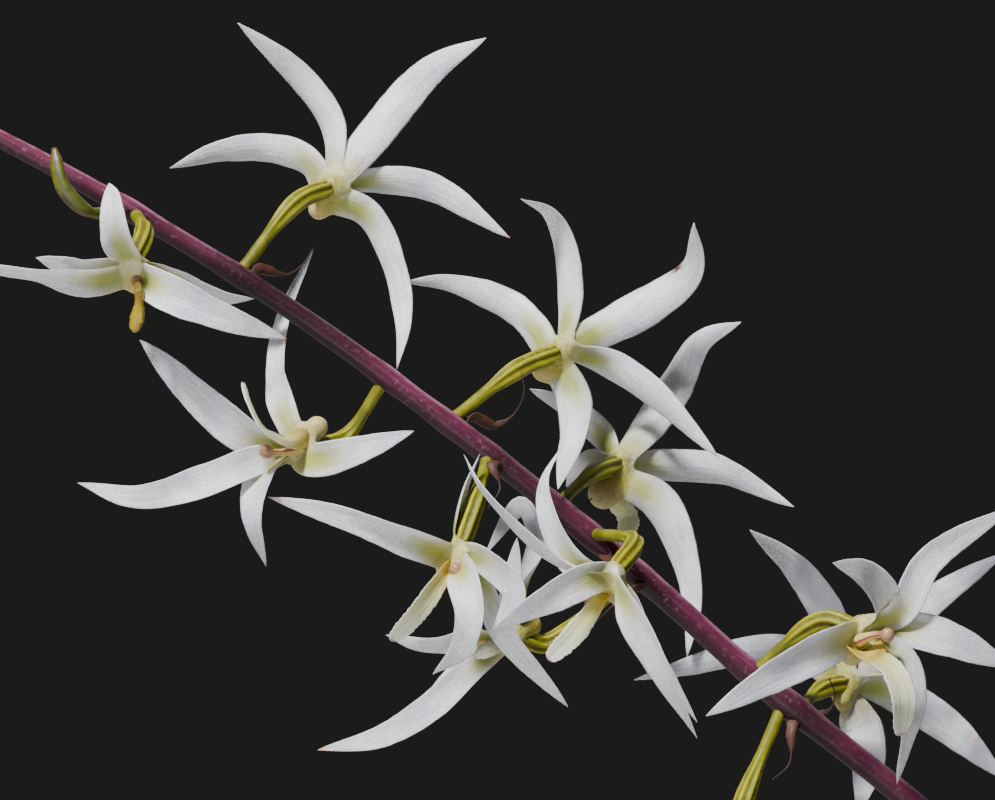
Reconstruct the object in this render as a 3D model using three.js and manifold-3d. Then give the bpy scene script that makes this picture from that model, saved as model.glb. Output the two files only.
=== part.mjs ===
// A potted eria orchid: a clay pot of bark, a creeping rhizome with five pseudobulbs and their
// leaves, and one arching spike of white star-shaped blooms with buds towards its tip.
// Millimetres, +Z up, origin at the centre of the pot's underside.
import * as THREE from 'three';
import { mergeVertices } from 'three/addons/utils/BufferGeometryUtils.js';
import Module from 'manifold-3d';

const wasm = await Module();
wasm.setup();

// Driving dimensions
const GAP = 0.3; // between pieces that touch
const ROUND = 24; // sides of the pot and of the bark in it
const POT = { height: 120, foot: 50, shoulder: 66, rim: 75, rimDepth: 25, wall: 6.5, floor: 9 };
const DRAIN = { count: 3, radius: 5, out: 27 };
const BARK = { level: 105, chips: 19, chip: [31, 21, 12] };
const PETAL = { thick: 0.7, fold: 0.24 };
const HEART = 1.9; // radius of the knob at a bloom's heart, and of the chin beside it
const COLUMN = { share: 0.4, long: 4.8, radius: 1 }; // it stands at a share of the way to the chin
const BRACT = { start: 2.3, wide: 1.8 };
const LEAF = { wide: 44, thick: 1.1, steps: 9 };
const STEM = { foot: 2.3, middle: 1.5, tip: 0.7, sides: 8, steps: 27 };
const STALK = { foot: 0.85, ovary: 1.2, sides: 5, steps: 5 };
const WINDOW = { middle: new THREE.Vector3(-93, 0, 422), across: 497.5, down: 400, unit: 0.12, away: 600 };

const COLOURS = {
  clay: [0xb5673f, 0.85],
  bark: [0x6b4630, 0.9],
  rhizome: [0x8a7a48, 0.75],
  bulb: [0x8f9a3f, 0.6],
  leaf: [0x3f6b2a, 0.5],
  stem: [0x8c3f66, 0.5],
  stalk: [0xa9ad2a, 0.55],
  bloom: [0xf1efe6, 0.6],
  bud: [0x9aa235, 0.55],
};

const vector = ([x, y, z]) => new THREE.Vector3(x, y, z);
const smooth = (t) => THREE.MathUtils.smoothstep(t, 0, 1);
const mix = THREE.MathUtils.lerp;
const degrees = THREE.MathUtils.degToRad;

// A seeded source of numbers from 0 to 1
function dice(seed) {
  let state = seed;
  return () => {
    state = (state + 0x6d2b79f5) | 0;
    let t = Math.imul(state ^ (state >>> 15), 1 | state);
    t = (t + Math.imul(t ^ (t >>> 7), 61 | t)) ^ t;
    return ((t ^ (t >>> 14)) >>> 0) / 4294967296;
  };
}

// A point of the spike as seen by someone facing +Y: across and down in a window of 995 by 800
// units of 0.12 mm, and the depth in mm behind the window's plane.
function seen([across, down, depth]) {
  const unit = WINDOW.unit * (1 + depth / WINDOW.away);
  return new THREE.Vector3(
    WINDOW.middle.x + (across - WINDOW.across) * unit,
    depth,
    WINDOW.middle.z + (WINDOW.down - down) * unit,
  );
}

// Solids
function solidOf(geometry) {
  const bare = new THREE.BufferGeometry().setAttribute('position', geometry.getAttribute('position'));
  if (geometry.index) bare.setIndex(geometry.index);
  const merged = mergeVertices(bare, 1e-4);
  return new wasm.Manifold(
    new wasm.Mesh({
      numProp: 3,
      vertProperties: merged.attributes.position.array,
      triVerts: new Uint32Array(merged.index.array),
    }),
  );
}

function geometryOf(solid) {
  const mesh = solid.getMesh();
  return new THREE.BufferGeometry()
    .setAttribute('position', new THREE.BufferAttribute(mesh.vertProperties, 3))
    .setIndex(new THREE.BufferAttribute(mesh.triVerts, 1));
}

const union = (solids) => solids.reduce((whole, solid) => whole.add(solid));

// The largest body of a solid that a cut may have left with loose scraps
function largest(solid) {
  return solid.decompose().reduce((best, body) => (body.volume() > best.volume() ? body : best));
}

// Rings of equal point counts joined into one closed skin, with a fan over each end
function loft(rings) {
  const sides = rings[0].length;
  const end = (rings.length - 1) * sides;
  const faces = [];
  for (let start = 0; start < end; start += sides)
    for (let k = 0; k < sides; k++) {
      const a = start + k;
      const b = start + ((k + 1) % sides);
      faces.push(a, b, b + sides, a, b + sides, a + sides);
    }
  for (let k = 1; k + 1 < sides; k++) faces.push(0, k + 1, k, end, end + k, end + k + 1);
  const positions = rings.flat().flatMap((p) => p.toArray());
  return solidOf(
    new THREE.BufferGeometry()
      .setAttribute('position', new THREE.Float32BufferAttribute(positions, 3))
      .setIndex(faces),
  );
}

function lathe(profile) {
  const points = profile.map(([r, z]) => new THREE.Vector2(r, z));
  return solidOf(new THREE.LatheGeometry(points, ROUND).rotateX(Math.PI / 2));
}

function ball(centre, radius, detail = 0) {
  return solidOf(new THREE.IcosahedronGeometry(radius, detail).translate(...centre.toArray()));
}

// Evenly spaced stations along a smooth way, each with its place, tangent and normal. The normal
// faces the given direction half way along, and is carried to both ends without twisting.
function stations(way, steps, facing) {
  const curve = new THREE.CatmullRomCurve3(way);
  const places = Array.from({ length: steps + 1 }, (_, i) => curve.getPointAt(i / steps));
  const tangents = places.map((_, i) =>
    places[Math.min(i + 1, steps)].clone().sub(places[Math.max(i - 1, 0)]).normalize(),
  );
  const square = (normal, i) =>
    normal.clone().addScaledVector(tangents[i], -normal.dot(tangents[i])).normalize();
  const normals = [];
  const half = Math.floor(steps / 2);
  normals[half] = square(facing, half);
  for (let i = half + 1; i <= steps; i++) normals[i] = square(normals[i - 1], i);
  for (let i = half - 1; i >= 0; i--) normals[i] = square(normals[i + 1], i);
  return places.map((place, i) => ({ place, tangent: tangents[i], normal: normals[i], t: i / steps }));
}

// A skin swept along a way. The section gives [across, up] points at each share t of the length,
// counted round from the top, and rollAt gives the angle by which they are turned about the way.
function sweep(way, steps, facing, section, rollAt = () => 0) {
  return loft(
    stations(way, steps, facing).map(({ place, tangent, normal, t }) => {
      const up = normal.clone().applyAxisAngle(tangent, rollAt(t));
      const side = up.clone().cross(tangent);
      return section(t).map(([across, rise]) =>
        place.clone().addScaledVector(side, across).addScaledVector(up, rise),
      );
    }),
  );
}

function tube(way, steps, sides, radiusAt) {
  const turns = Array.from({ length: sides }, (_, k) => Math.PI / 2 + (2 * Math.PI * k) / sides);
  const section = (t) => turns.map((a) => [radiusAt(t) * Math.cos(a), radiusAt(t) * Math.sin(a)]);
  return sweep(way, steps, new THREE.Vector3(0.3, -1, 0.2), section);
}

// Half widths along a blade, as shares of its widest: a root, the widest place, drawn out to a point
const OUTLINE = {
  dorsal: { root: 0.62, widest: 0.42 },
  petal: { root: 0.46, widest: 0.42 },
  lateral: { root: 0.86, widest: 0.3 },
  lip: { root: 0.62, widest: 0.6 },
  bract: { root: 0.8, widest: 0.3 },
};

function bladeOutline(t, { root, widest }) {
  const swell = root + (1 - root) * Math.sin((Math.PI / 2) * Math.min(t / widest, 1));
  const taper = t > widest ? Math.pow(1 - Math.pow((t - widest) / (1 - widest), 1.75), 0.85) : 1;
  return swell * taper;
}

function blade(way, facing, wide, outline, steps, rollAt) {
  const section = (t) => {
    const half = Math.max((wide / 2) * bladeOutline(t, outline), 0.2);
    const keel = PETAL.thick * mix(1.1, 0.4, t * t) + half * PETAL.fold * (1 - t);
    return [[-half, 0.3 * keel], [0, -0.7 * keel], [half, 0.3 * keel]];
  };
  return sweep(way, steps, facing, section, rollAt);
}

// Pot
function pot() {
  const { height, foot, shoulder, rim, rimDepth, wall, floor } = POT;
  const band = height - rimDepth;
  const shell = lathe([
    [0, 0], [foot - 2, 0], [foot, 2], [shoulder, band], [rim - 2.5, band], [rim - 0.8, band + 2],
    [rim, height - 2.5], [rim - 1.5, height], [rim - wall + 1, height], [rim - wall, height - 2],
    [shoulder - wall, band - 4], [foot - wall + 2, floor], [0, floor],
  ]);
  const holes = Array.from({ length: DRAIN.count }, (_, k) => {
    const a = (2 * Math.PI * k) / DRAIN.count + 0.5;
    const plug = new THREE.CylinderGeometry(DRAIN.radius, DRAIN.radius, 3 * floor, 10);
    return solidOf(
      plug.rotateX(Math.PI / 2).translate(DRAIN.out * Math.cos(a), DRAIN.out * Math.sin(a), 0),
    );
  });
  return holes.reduce((whole, hole) => whole.subtract(hole), shell);
}

// The room inside the pot, less the gap to its wall, up to a height
function potRoom(top) {
  const { height, foot, shoulder, rim, rimDepth, wall, floor } = POT;
  const band = height - rimDepth - 4;
  const rise = (rim - shoulder) / (rimDepth + 2);
  return lathe([
    [0, floor + GAP], [foot - wall + 2 - GAP, floor + GAP], [shoulder - wall - GAP, band],
    [shoulder - wall - GAP + (top - band) * rise, top], [0, top],
  ]);
}

// Bark chips heaped on a plug of bark, cut to the pot and to what grows in them
function bark(growth) {
  const random = dice(11);
  const room = POT.shoulder - POT.wall;
  const chips = Array.from({ length: BARK.chips }, (_, k) => {
    const out = room * Math.sqrt((k + 0.5) / BARK.chips);
    const round = k * 2.39996 + 0.5 * random();
    const [long, wide, deep] = BARK.chip.map((size) => size * (0.75 + 0.5 * random()));
    const box = new THREE.BoxGeometry(long, wide, deep);
    const block = mergeVertices(new THREE.BufferGeometry()
      .setAttribute('position', box.getAttribute('position')).setIndex(box.index));
    const corners = block.attributes.position;
    for (let i = 0; i < corners.count; i++)
      corners.setXYZ(
        i,
        corners.getX(i) * (0.8 + 0.35 * random()),
        corners.getY(i) * (0.7 + 0.45 * random()),
        corners.getZ(i) * (0.7 + 0.45 * random()),
      );
    block.rotateX(0.9 * (random() - 0.5)).rotateY(0.7 * (random() - 0.5));
    block.rotateZ(2 * Math.PI * random());
    block.translate(out * Math.cos(round), out * Math.sin(round), BARK.level + 3 * (random() - 0.6));
    return solidOf(block);
  });
  const heap = union([potRoom(BARK.level), ...chips]).intersect(potRoom(POT.height));
  return largest(growth.reduce((whole, solid) => whole.subtract(solid), heap));
}

// Growth on the bark. The bulbs stand along the rhizome from the oldest to the flowering one.
const BULBS = [
  { at: [-46, -5], height: 44, wide: 9.5, leaves: [] },
  { at: [-26, 7], height: 60, wide: 10.5, leaves: [[208, 168, 82, 44], [114, 176, 112, 50]] },
  { at: [-5, -7], height: 68, wide: 11, leaves: [[246, 176, 88, 52], [108, 190, 120, 60]] },
  { at: [16, 7], height: 74, wide: 11.5, leaves: [[282, 184, 96, 60], [78, 192, 128, 58]] },
  { at: [37, -6], height: 80, wide: 12, leaves: [[322, 192, 108, 62], [54, 204, 138, 66]] },
];
const RHIZOME = { radius: 4.6, level: BARK.level + 2 };
const COLLAR = { top: BARK.level + 8, height: 8, swells: [0.6, 0.45] }; // what each bulb stands on
const APEX = 4.4; // radius of a bulb's top, which the leaves and the spike grow from

const bulbFoot = ({ at }) => new THREE.Vector3(at[0], at[1], RHIZOME.level);
const bulbTop = ({ at, height }) => new THREE.Vector3(at[0], at[1], BARK.level + height);

// Rhizome with its growing tip and the roots that creep off over the bark
const ROOTS = [[0, 255, 30], [1, 95, 30], [2, 240, 36], [3, 60, 30], [3, 300, 36], [4, 25, 20]];

function rhizome(extra) {
  const line = BULBS.map(bulbFoot);
  const first = line[0].clone().add(new THREE.Vector3(-9, -2, -3));
  const tip = line.at(-1).clone().add(new THREE.Vector3(15, -3, 5));
  const body = tube([first, ...line, tip], 14, 7, (t) => {
    const ring = 0.35 * Math.abs(Math.sin(9 * Math.PI * t));
    return extra + (RHIZOME.radius - ring) * (t > 0.93 ? 0.45 : 1) * (t < 0.04 ? 0.6 : 1);
  });
  const roots = ROOTS.map(([i, heading, reach]) => {
    const ahead = (share, rise) => {
      const a = degrees(heading) + 0.5 * share;
      const out = reach * share;
      return line[i].clone().add(new THREE.Vector3(out * Math.cos(a), out * Math.sin(a), rise));
    };
    return tube([ahead(0, 0), ahead(0.45, 2), ahead(0.8, 1.5), ahead(1.05, -7)], 4, 5, () => 1.3 + extra);
  });
  const collars = BULBS.map(({ at, wide }) => {
    const [above, below] = COLLAR.swells.map((swell) => swell * wide + extra);
    const collar = new THREE.CylinderGeometry(above, below, COLLAR.height + 2 * extra, 10);
    const middle = COLLAR.top - COLLAR.height / 2;
    return solidOf(collar.rotateX(Math.PI / 2).translate(at[0], at[1], middle));
  });
  return union([body, ...collars, ...roots]);
}

// A ribbed bulb, with the old sheath standing a little proud round its lower part
function bulb({ at, height, wide }, extra) {
  const sheathTop = 0.44;
  const profile = [
    [0, 0.62], [0.07, 0.88], [0.24, 1], [sheathTop, 0.96], [0.48, 0.85], [0.76, 0.6], [1, APEX / wide],
  ];
  const sides = 10;
  const base = COLLAR.top + GAP - extra;
  const tall = BARK.level + height - base;
  return loft(
    profile.map(([share, swell]) =>
      Array.from({ length: sides }, (_, k) => {
        const a = (2 * Math.PI * k) / sides;
        const rib = 1 + (k % 2 ? 0.035 : -0.035);
        const torn = share === sheathTop ? 0.05 * Math.sin(3 * a + at[0]) : 0;
        const r = wide * swell * rib + extra;
        const level = base + tall * (share + torn);
        return new THREE.Vector3(at[0] + r * Math.cos(a), at[1] + r * Math.sin(a), level);
      }),
    ),
  );
}

// A strap leaf: a folded foot on the bulb's top, then an open blade that arches over
function leaf(bulbData, [heading, reach, rise, droop], side) {
  const a = degrees(heading);
  const out = (share, up) => {
    const p = bulbTop(bulbData);
    return p.add(new THREE.Vector3(Math.cos(a) * share, Math.sin(a) * share, up));
  };
  const stand = 3.1;
  const way = [
    out(stand, 2 * GAP), out(stand + 2, 0.17 * rise), out(0.16 * reach, 0.52 * rise),
    out(0.44 * reach, 0.93 * rise), out(0.76 * reach, rise), out(reach, rise - droop),
  ];
  const open = (t) => {
    if (t < 0.45) return mix(0.13, 1, smooth(Math.max(t - 0.06, 0) / 0.39));
    return Math.pow(1 - Math.pow((t - 0.45) / 0.55, 2.3), 0.8);
  };
  const section = (t) => {
    const half = Math.max((LEAF.wide / 2) * open(t), 0.6);
    const thick = mix(1.25, LEAF.thick / 2, smooth(t / 0.2));
    const fold = mix(0.85, 0.22, smooth(t / 0.35));
    const sag = -half * fold;
    const edge = thick * 0.35;
    const wave = 0.05 * half * Math.sin(13 * t + side);
    const [inner, lower] = [0.5 * half, 0.42 * sag];
    return [
      [0, sag + thick], [-inner, lower + thick], [-half, wave + edge], [-half, wave - edge],
      [-inner, lower - thick], [0, sag - thick], [inner, lower - thick], [half, -wave - edge],
      [half, edge - wave], [inner, lower + thick],
    ];
  };
  return sweep(way, LEAF.steps, new THREE.Vector3(0, 0, 1), section);
}

// Spike: the line of the flower stem, from the top of the youngest bulb to the last bud
const SPIKE = [
  [1579, 2390, -6], [1545, 1850, -4], [1400, 1420, -1], [1230, 1118, 0], [1060, 930, 0], [905, 797, 0],
  [755, 677, 0], [650, 584, 0], [457, 430, 0], [250, 283, 0], [0, 139, 0], [-150, 72, 0], [-300, 16, 0],
  [-400, -14, 0], [-490, -38, 0],
].map(seen);
const spikeCurve = new THREE.CatmullRomCurve3(SPIKE);
const spikeLine = spikeCurve.getSpacedPoints(400);

function spikeRadius(t) {
  if (t < 0.5) return mix(STEM.foot, STEM.middle, t / 0.5);
  return mix(STEM.middle, STEM.tip, Math.pow((t - 0.5) / 0.5, 1.6));
}

// The point of the stem's axis nearest to another, and the stem's direction towards its foot there
function onStem(point) {
  const gaps = spikeLine.map((p) => p.distanceTo(point));
  const i = gaps.indexOf(Math.min(...gaps));
  const down = spikeLine[Math.max(i - 3, 0)].clone().sub(spikeLine[Math.min(i + 3, 400)]).normalize();
  return { foot: spikeLine[i], down };
}

const stemTube = (extra) => tube(SPIKE, STEM.steps, STEM.sides, (t) => spikeRadius(t) + extra);

// Blooms. A tepal is a way from the heart, its width and its roll about that way. Sepals and petals
// are listed round the bloom from the dorsal sepal: sepal, petal, sepal, sepal, petal. The column
// nods the way that the bloom faces, or its own way, and a lateral sepal starts at a share of the
// way from the heart to the chin.
const tepal = (wide, roll, ...way) => ({ wide, roll, way });

const BLOOMS = [
  {
    heart: [133, 264, -12], faces: [-0.22, -0.82, -0.5], foot: [136, 214], bend: [144, 234, -8],
    nods: [-0.2, -0.95, -0.1],
    tepals: [
      tepal(4.0, 0, [119, 242, -17], [112, 208, -18], [109, 183, -14]),
      tepal(3.4, 0, [98, 268, -8], [66, 267, -5], [36, 258, 0]),
      tepal(4.0, -20, [88, 281, -14], [30, 274, -14], [-24, 267, -11]),
      tepal(4.3, -35, [165, 291, -17], [215, 314, -17], [287, 339, -13]),
      tepal(3.4, 0, [168, 277, -9], [218, 297, -7], [254, 299, -6]),
    ],
    lip: tepal(1.7, 0, [139, 290, -15], [139, 311, -15], [134, 332, -14]), chin: [137, 283, -10],
    bract: [[146, 222, -2], [154, 234, -5], [149, 252, -8]],
  },
  {
    heart: [333, 186, 9], faces: [0.35, 0.85, 0.35], foot: [238, 276], bend: [296, 203, 4],
    tepals: [
      tepal(4.7, 0, [372, 136, 12], [430, 71, 13], [486, 38, 10]),
      tepal(3.7, 20, [331, 124, 13], [301, 78, 13], [238, 23, 9]),
      tepal(4.0, 5, [309, 163, 11], [271, 149, 13], [222, 151, 12], [170, 168, 8]),
      tepal(4.0, -5, [366, 214, 10], [394, 270, 9], [403, 322, 6], [397, 369, 3.5]),
      tepal(4.0, 0, [382, 181, 13], [432, 188, 13], [510, 238, 9]),
    ],
    lip: tepal(2.6, 0, [326, 205, 15], [338, 205, 20], [352, 216, 21]), chin: [319, 209, 10],
    bract: [[256, 272, 1], [286, 275, 3], [303, 264, 4], [313, 248, 4]],
  },
  {
    heart: [295, 449, -6], faces: [-0.68, -0.72, -0.1], foot: [385, 378], bend: [345, 437, 1],
    nods: [-1, -0.35, -0.05], share: 0.2,
    tepals: [
      tepal(3.9, 0, [248, 464, -11], [206, 481, -13], [140, 497, -13], [78, 483, -9]),
      tepal(3.6, -15, [262, 474, -11], [252, 515, -13], [266, 566, -10]),
      tepal(4.1, 0, [312, 460, -9], [352, 452, -11], [414, 431, -10]),
      tepal(3.4, 15, [286, 418, -4], [277, 372, 1], [284, 315, 5.5], [313, 250, 7]),
      tepal(4.9, 10, [254, 440, -10], [202, 400, -10], [140, 340, -5]),
    ],
    lip: tepal(2.1, -25, [285, 441, -12], [262, 428, -15], [250, 406, -15], [243, 382, -12]),
    chin: [317, 427, -4],
    bract: [[390, 384, 3], [398, 392, 5], [410, 392, 6]],
  },
  {
    heart: [563, 350, 9], faces: [0.4, 0.85, 0.25], foot: [452, 424], bend: [518, 369, 5],
    tepals: [
      tepal(4.9, 0, [600, 331, 12], [656, 300, 12], [692, 270, 9], [694, 223, 5]),
      tepal(3.7, 0, [569, 300, 13], [563, 240, 13], [549, 213, 11], [521, 199, 8]),
      tepal(4.0, 10, [532, 326, 12], [505, 303, 14], [448, 283, 14], [403, 282, 13]),
      tepal(4.3, -25, [572, 392, 8], [573, 430, 5], [558, 489, -2]),
      tepal(4.1, 0, [610, 365, 13], [655, 395, 12], [718, 457, 8]),
    ],
    lip: tepal(2.6, 0, [556, 368, 15], [566, 370, 20], [578, 382, 21]), chin: [543, 371, 9],
    bract: [[470, 419, 1], [494, 427, 3], [514, 414, 3], [524, 392, 2], [521, 372, 2]],
  },
  {
    heart: [620, 462, 14], faces: [0.5, 0.82, 0.2], foot: [556, 505], bend: [590, 475, 7],
    tepals: [
      tepal(4.6, 0, [646, 428, 18], [674, 388, 19], [700, 343, 17], [741, 322, 13]),
      tepal(3.8, 0, [596, 430, 19], [564, 405, 19], [530, 389, 16]),
      tepal(3.8, 0, [594, 464, 16], [577, 478, 21], [566, 486, 28]),
      tepal(4.5, -12, [656, 498, 12], [683, 556, 10], [692, 606, 8], [687, 657, 7]),
      tepal(4.1, 0, [662, 465, 18], [720, 471, 19], [794, 507, 15]),
    ],
    lip: tepal(2.4, 0, [612, 498, 16], [626, 516, 17], [624, 544, 15]), chin: [604, 491, 12],
    bract: [[566, 512, 3], [580, 510, 6], [592, 498, 8]],
  },
  {
    heart: [459, 551, -9], faces: [-0.15, -0.85, -0.48], foot: [488, 452], bend: [476, 500, -6],
    nods: [-0.05, -0.95, -0.3],
    tepals: [
      tepal(3.6, 0, [488, 563, -14], [514, 592, -15], [492, 634, -13]),
      tepal(2.6, 75, [456, 530, -8], [464, 492, -7], [480, 454, -5]),
      tepal(3.9, 5, [416, 544, -13], [349, 519, -14], [268, 497, -10]),
      tepal(4.0, 0, [464, 580, -15], [470, 614, -17], [460, 650, -15], [433, 674, -11]),
      tepal(3.5, 0, [484, 586, -10], [506, 636, -8], [568, 707, -5]),
    ],
    lip: tepal(2.6, -20, [442, 576, -13], [420, 608, -15], [391, 641, -13]), chin: [447, 567, -9],
    bract: [[494, 465, -3], [500, 488, -4], [488, 508, -6]],
  },
  {
    heart: [614, 574, -14], faces: [-0.55, -0.45, -0.7], foot: [588, 532], bend: [634, 541, -7],
    nods: [-0.45, 0.6, -0.6],
    tepals: [
      tepal(4.2, 50, [582, 582, -19], [544, 601, -21], [491, 631, -20]),
      tepal(3.2, -5, [570, 566, -18], [524, 532, -19], [482, 488, -17], [464, 455, -14]),
      tepal(3.6, 35, [574, 563, -16], [548, 515, -14], [544, 480, -11], [568, 438, -8]),
      tepal(3.4, 0, [636, 612, -13], [667, 672, -12], [697, 722, -11]),
      tepal(4.6, -10, [627, 606, -18], [657, 663, -19], [697, 738, -16]),
    ],
    lip: tepal(3.0, 0, [599, 600, -15], [576, 632, -16], [548, 660, -14]), chin: [607, 588, -13],
    bract: [[610, 558, -2.5], [620, 564, -3.5], [636, 570, -4]],
  },
  {
    heart: [512, 636, -1], faces: [-0.85, -0.2, -0.4], foot: [632, 574], bend: [548, 643, 2],
    tepals: [
      tepal(3.6, 0, [476, 668, -3], [430, 708, -4], [380, 737, -2], [318, 750, 1]),
      tepal(3.4, 0, [470, 664, 2], [424, 700, 4]),
      tepal(3.5, 20, [470, 640, 0], [425, 645, 0], [386, 635, 0]),
      tepal(3.6, 40, [524, 590, 1], [538, 540, 4], [522, 506, 6], [485, 554, 7]),
      tepal(2.6, 70, [510, 610, -2], [513, 575, -3], [517, 538, -3]),
    ],
    lip: tepal(2.4, 0, [502, 642, -5], [488, 650, -7], [474, 656, -6]), chin: [527, 625, 1],
    bract: [[628, 594, -2.5], [606, 612, -3], [582, 638, -3]],
  },
  {
    heart: [860, 627, -5], faces: [0.78, -0.6, -0.05], foot: [750, 672], bend: [822, 620, -3],
    nods: [0.9, -0.4, 0.15],
    tepals: [
      tepal(4.4, -5, [899, 613, -8], [928, 562, -9], [1012, 507, -5]),
      tepal(4.3, 0, [885, 606, -9], [868, 577, -13], [833, 563, -18]),
      tepal(5.0, 12, [846, 640, -8], [806, 658, -11], [706, 716, -12]),
      tepal(4.0, 20, [900, 660, -9], [912, 700, -9], [897, 784, -5]),
      tepal(4.8, 0, [904, 629, -7], [950, 640, -8], [1014, 668, -6]),
    ],
    lip: tepal(3.4, 25, [872, 658, -10], [893, 672, -14], [903, 700, -15], [897, 736, -13]),
    chin: [852, 655, -6],
    bract: [[762, 678, 2], [776, 684, 4], [788, 680, 5]],
  },
  {
    heart: [848, 682, 12], faces: [0.6, 0.78, 0.1], foot: [795, 712], bend: [820, 690, 7],
    tepals: [
      tepal(4.6, 0, [884, 648, 18], [930, 602, 20], [1006, 552, 17]),
      tepal(4.4, 25, [836, 635, 17], [800, 573, 17], [750, 530, 13]),
      tepal(3.9, 0, [806, 656, 12], [750, 651, 10], [690, 666, 9], [634, 680, 8]),
      tepal(5.0, -25, [858, 714, 11], [868, 755, 9], [858, 816, 6]),
      tepal(5.0, -12, [888, 692, 16], [944, 724, 17], [1006, 780, 14]),
    ],
    lip: tepal(2.6, 0, [852, 702, 16], [864, 708, 20], [880, 722, 20]), chin: [840, 703, 10],
    bract: [[812, 719, 2], [829, 711, 2.5], [835, 695, 2.5], [829, 678, 3]],
  },
  {
    heart: [726, 862, -4], faces: [-0.3, -0.2, -0.93], foot: [786, 702], bend: [744, 800, -3], turn: 10,
    bract: [[792, 728, -2], [792, 756, -3], [776, 780, -4]],
  },
  { heart: [990, 945, 14], faces: [0.2, 0.95, -0.2], foot: [952, 838], bend: [975, 895, 8], turn: 260 },
  {
    heart: [930, 1015, -12], faces: [-0.6, -0.75, -0.25], foot: [1030, 903], bend: [975, 975, -9],
    turn: 150,
  },
  { heart: [1215, 975, 2], faces: [0.85, -0.35, 0.35], foot: [1105, 975], bend: [1170, 958, 0], turn: 40 },
  {
    heart: [1085, 1160, 12], faces: [-0.55, 0.8, -0.2], foot: [1180, 1055], bend: [1120, 1115, 9],
    turn: 100,
  },
];

// A bloom that nothing else settles: five tepals spread evenly round the way it faces, with the
// lip and chin on the side given by its turn.
function spreadBloom({ heart, faces, turn }, seed) {
  const random = dice(seed);
  const centre = seen(heart);
  const axis = vector(faces).normalize();
  const side = new THREE.Vector3(0, 0, 1).cross(axis).normalize();
  const up = axis.clone().cross(side);
  const point = (angle, out, ahead) => {
    const a = degrees(angle + turn);
    return centre.clone().addScaledVector(side, out * Math.cos(a)).addScaledVector(up, out * Math.sin(a))
      .addScaledVector(axis, ahead);
  };
  const clock = [0, 66, 144, 216, 294];
  return {
    centre,
    axis,
    tepals: clock.map((angle, k) => {
      const long = 18 + 2.4 * random();
      const a = angle + 10 * (random() - 0.5);
      const curl = 1 + 4 * random();
      const last = a + 8 * (random() - 0.5);
      const way = [point(a, 4.5, 2.5), point(a + 3, long * 0.55, 3.6), point(last, long, 3 - curl)];
      return { wide: k % 2 || k === 4 ? 4 : 4.5, roll: 12 * (random() - 0.5), way };
    }),
    lip: tepal(2.8, 0, point(180, 3.2, 4), point(180, 5, 7.5), point(180, 8.6, 8.5)),
    chin: point(180, 2.9, 0.6),
    nods: axis,
  };
}

const placed = (one) => ({ ...one, way: one.way.map(seen) });

function bloomShape(data, number) {
  if (!data.tepals) return spreadBloom(data, number);
  return {
    centre: seen(data.heart),
    axis: vector(data.faces).normalize(),
    tepals: data.tepals.map(placed),
    lip: placed(data.lip),
    chin: seen(data.chin),
    nods: vector(data.nods ?? data.faces).normalize(),
    share: data.share,
  };
}

const tepalSteps = (way) => (way.length > 3 ? 6 : 5);

// A lateral sepal, which grows edgewise from the line between the heart and the chin
function lateral({ centre, axis, chin, share = 0.5 }, { way, wide, roll }) {
  const whole = [centre.clone().lerp(chin, share), ...way];
  const steps = tepalSteps(way);
  const { tangent, normal } = stations(whole, steps, axis)[0];
  const up = normal.clone().applyAxisAngle(tangent, degrees(roll));
  const edge = chin.clone().sub(centre);
  const turn = Math.atan2(edge.dot(up), edge.dot(up.clone().cross(tangent)));
  const least = turn - Math.PI * Math.round(turn / Math.PI);
  const rollAt = (t) => degrees(roll) + least * (1 - smooth(t / 0.4));
  return blade(whole, axis, wide, OUTLINE.lateral, steps, rollAt);
}

// One bloom: five tepals, the lip, the column with its cap, and the chin behind the lip
function bloom(shape) {
  const { centre, axis, tepals, lip, chin, nods } = shape;
  const blades = tepals.map((one, k) => {
    if (k === 2 || k === 3) return lateral(shape, one);
    const outline = k ? OUTLINE.petal : OUTLINE.dorsal;
    const roll = degrees(one.roll);
    return blade([centre, ...one.way], axis, one.wide, outline, tepalSteps(one.way), () => roll);
  });
  const tongue = blade([chin, ...lip.way], axis, lip.wide, OUTLINE.lip, 4, () => degrees(lip.roll));
  const foot = centre.clone().lerp(chin, COLUMN.share);
  const ahead = (far) => foot.clone().addScaledVector(nods, far);
  const column = tube([foot, ahead(COLUMN.long / 2), ahead(COLUMN.long)], 2, 5, () => COLUMN.radius);
  return union([...blades, ball(centre, HEART), column, tongue, ball(chin, HEART)]);
}

// Stalk and ovary, from the stem's axis to the back of the bloom
function stalkWay({ foot, bend, heart }) {
  const root = onStem(seen([...foot, 0])).foot;
  const turn = seen(bend);
  const back = seen(heart).lerp(turn, (HEART + GAP) / turn.distanceTo(seen(heart)));
  return [root, turn, back];
}

function stalk(data, extra) {
  const radius = (t) => mix(STALK.foot, STALK.ovary, smooth((t - 0.35) / 0.3)) + extra;
  return tube(stalkWay(data), STALK.steps, STALK.sides, radius);
}

// Bract: a narrow pointed scale under each stalk, on the side of the stem's foot
function bract({ foot, heart, bract: way }, scale) {
  const { foot: root, down } = onStem(seen([...foot, 0]));
  const out = seen(heart).sub(root);
  out.addScaledVector(down, -out.dot(down)).normalize();
  const step = (along, off) =>
    root.clone().addScaledVector(down, along * scale).addScaledVector(out, off * scale);
  const points = way ? way.map(seen) : [step(4, 2.8), step(6, 4.6), step(7.8, 7.2)];
  const facing = out.clone().sub(down);
  return blade([step(BRACT.start, 0), ...points], facing, BRACT.wide * scale, OUTLINE.bract, 3);
}

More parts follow.
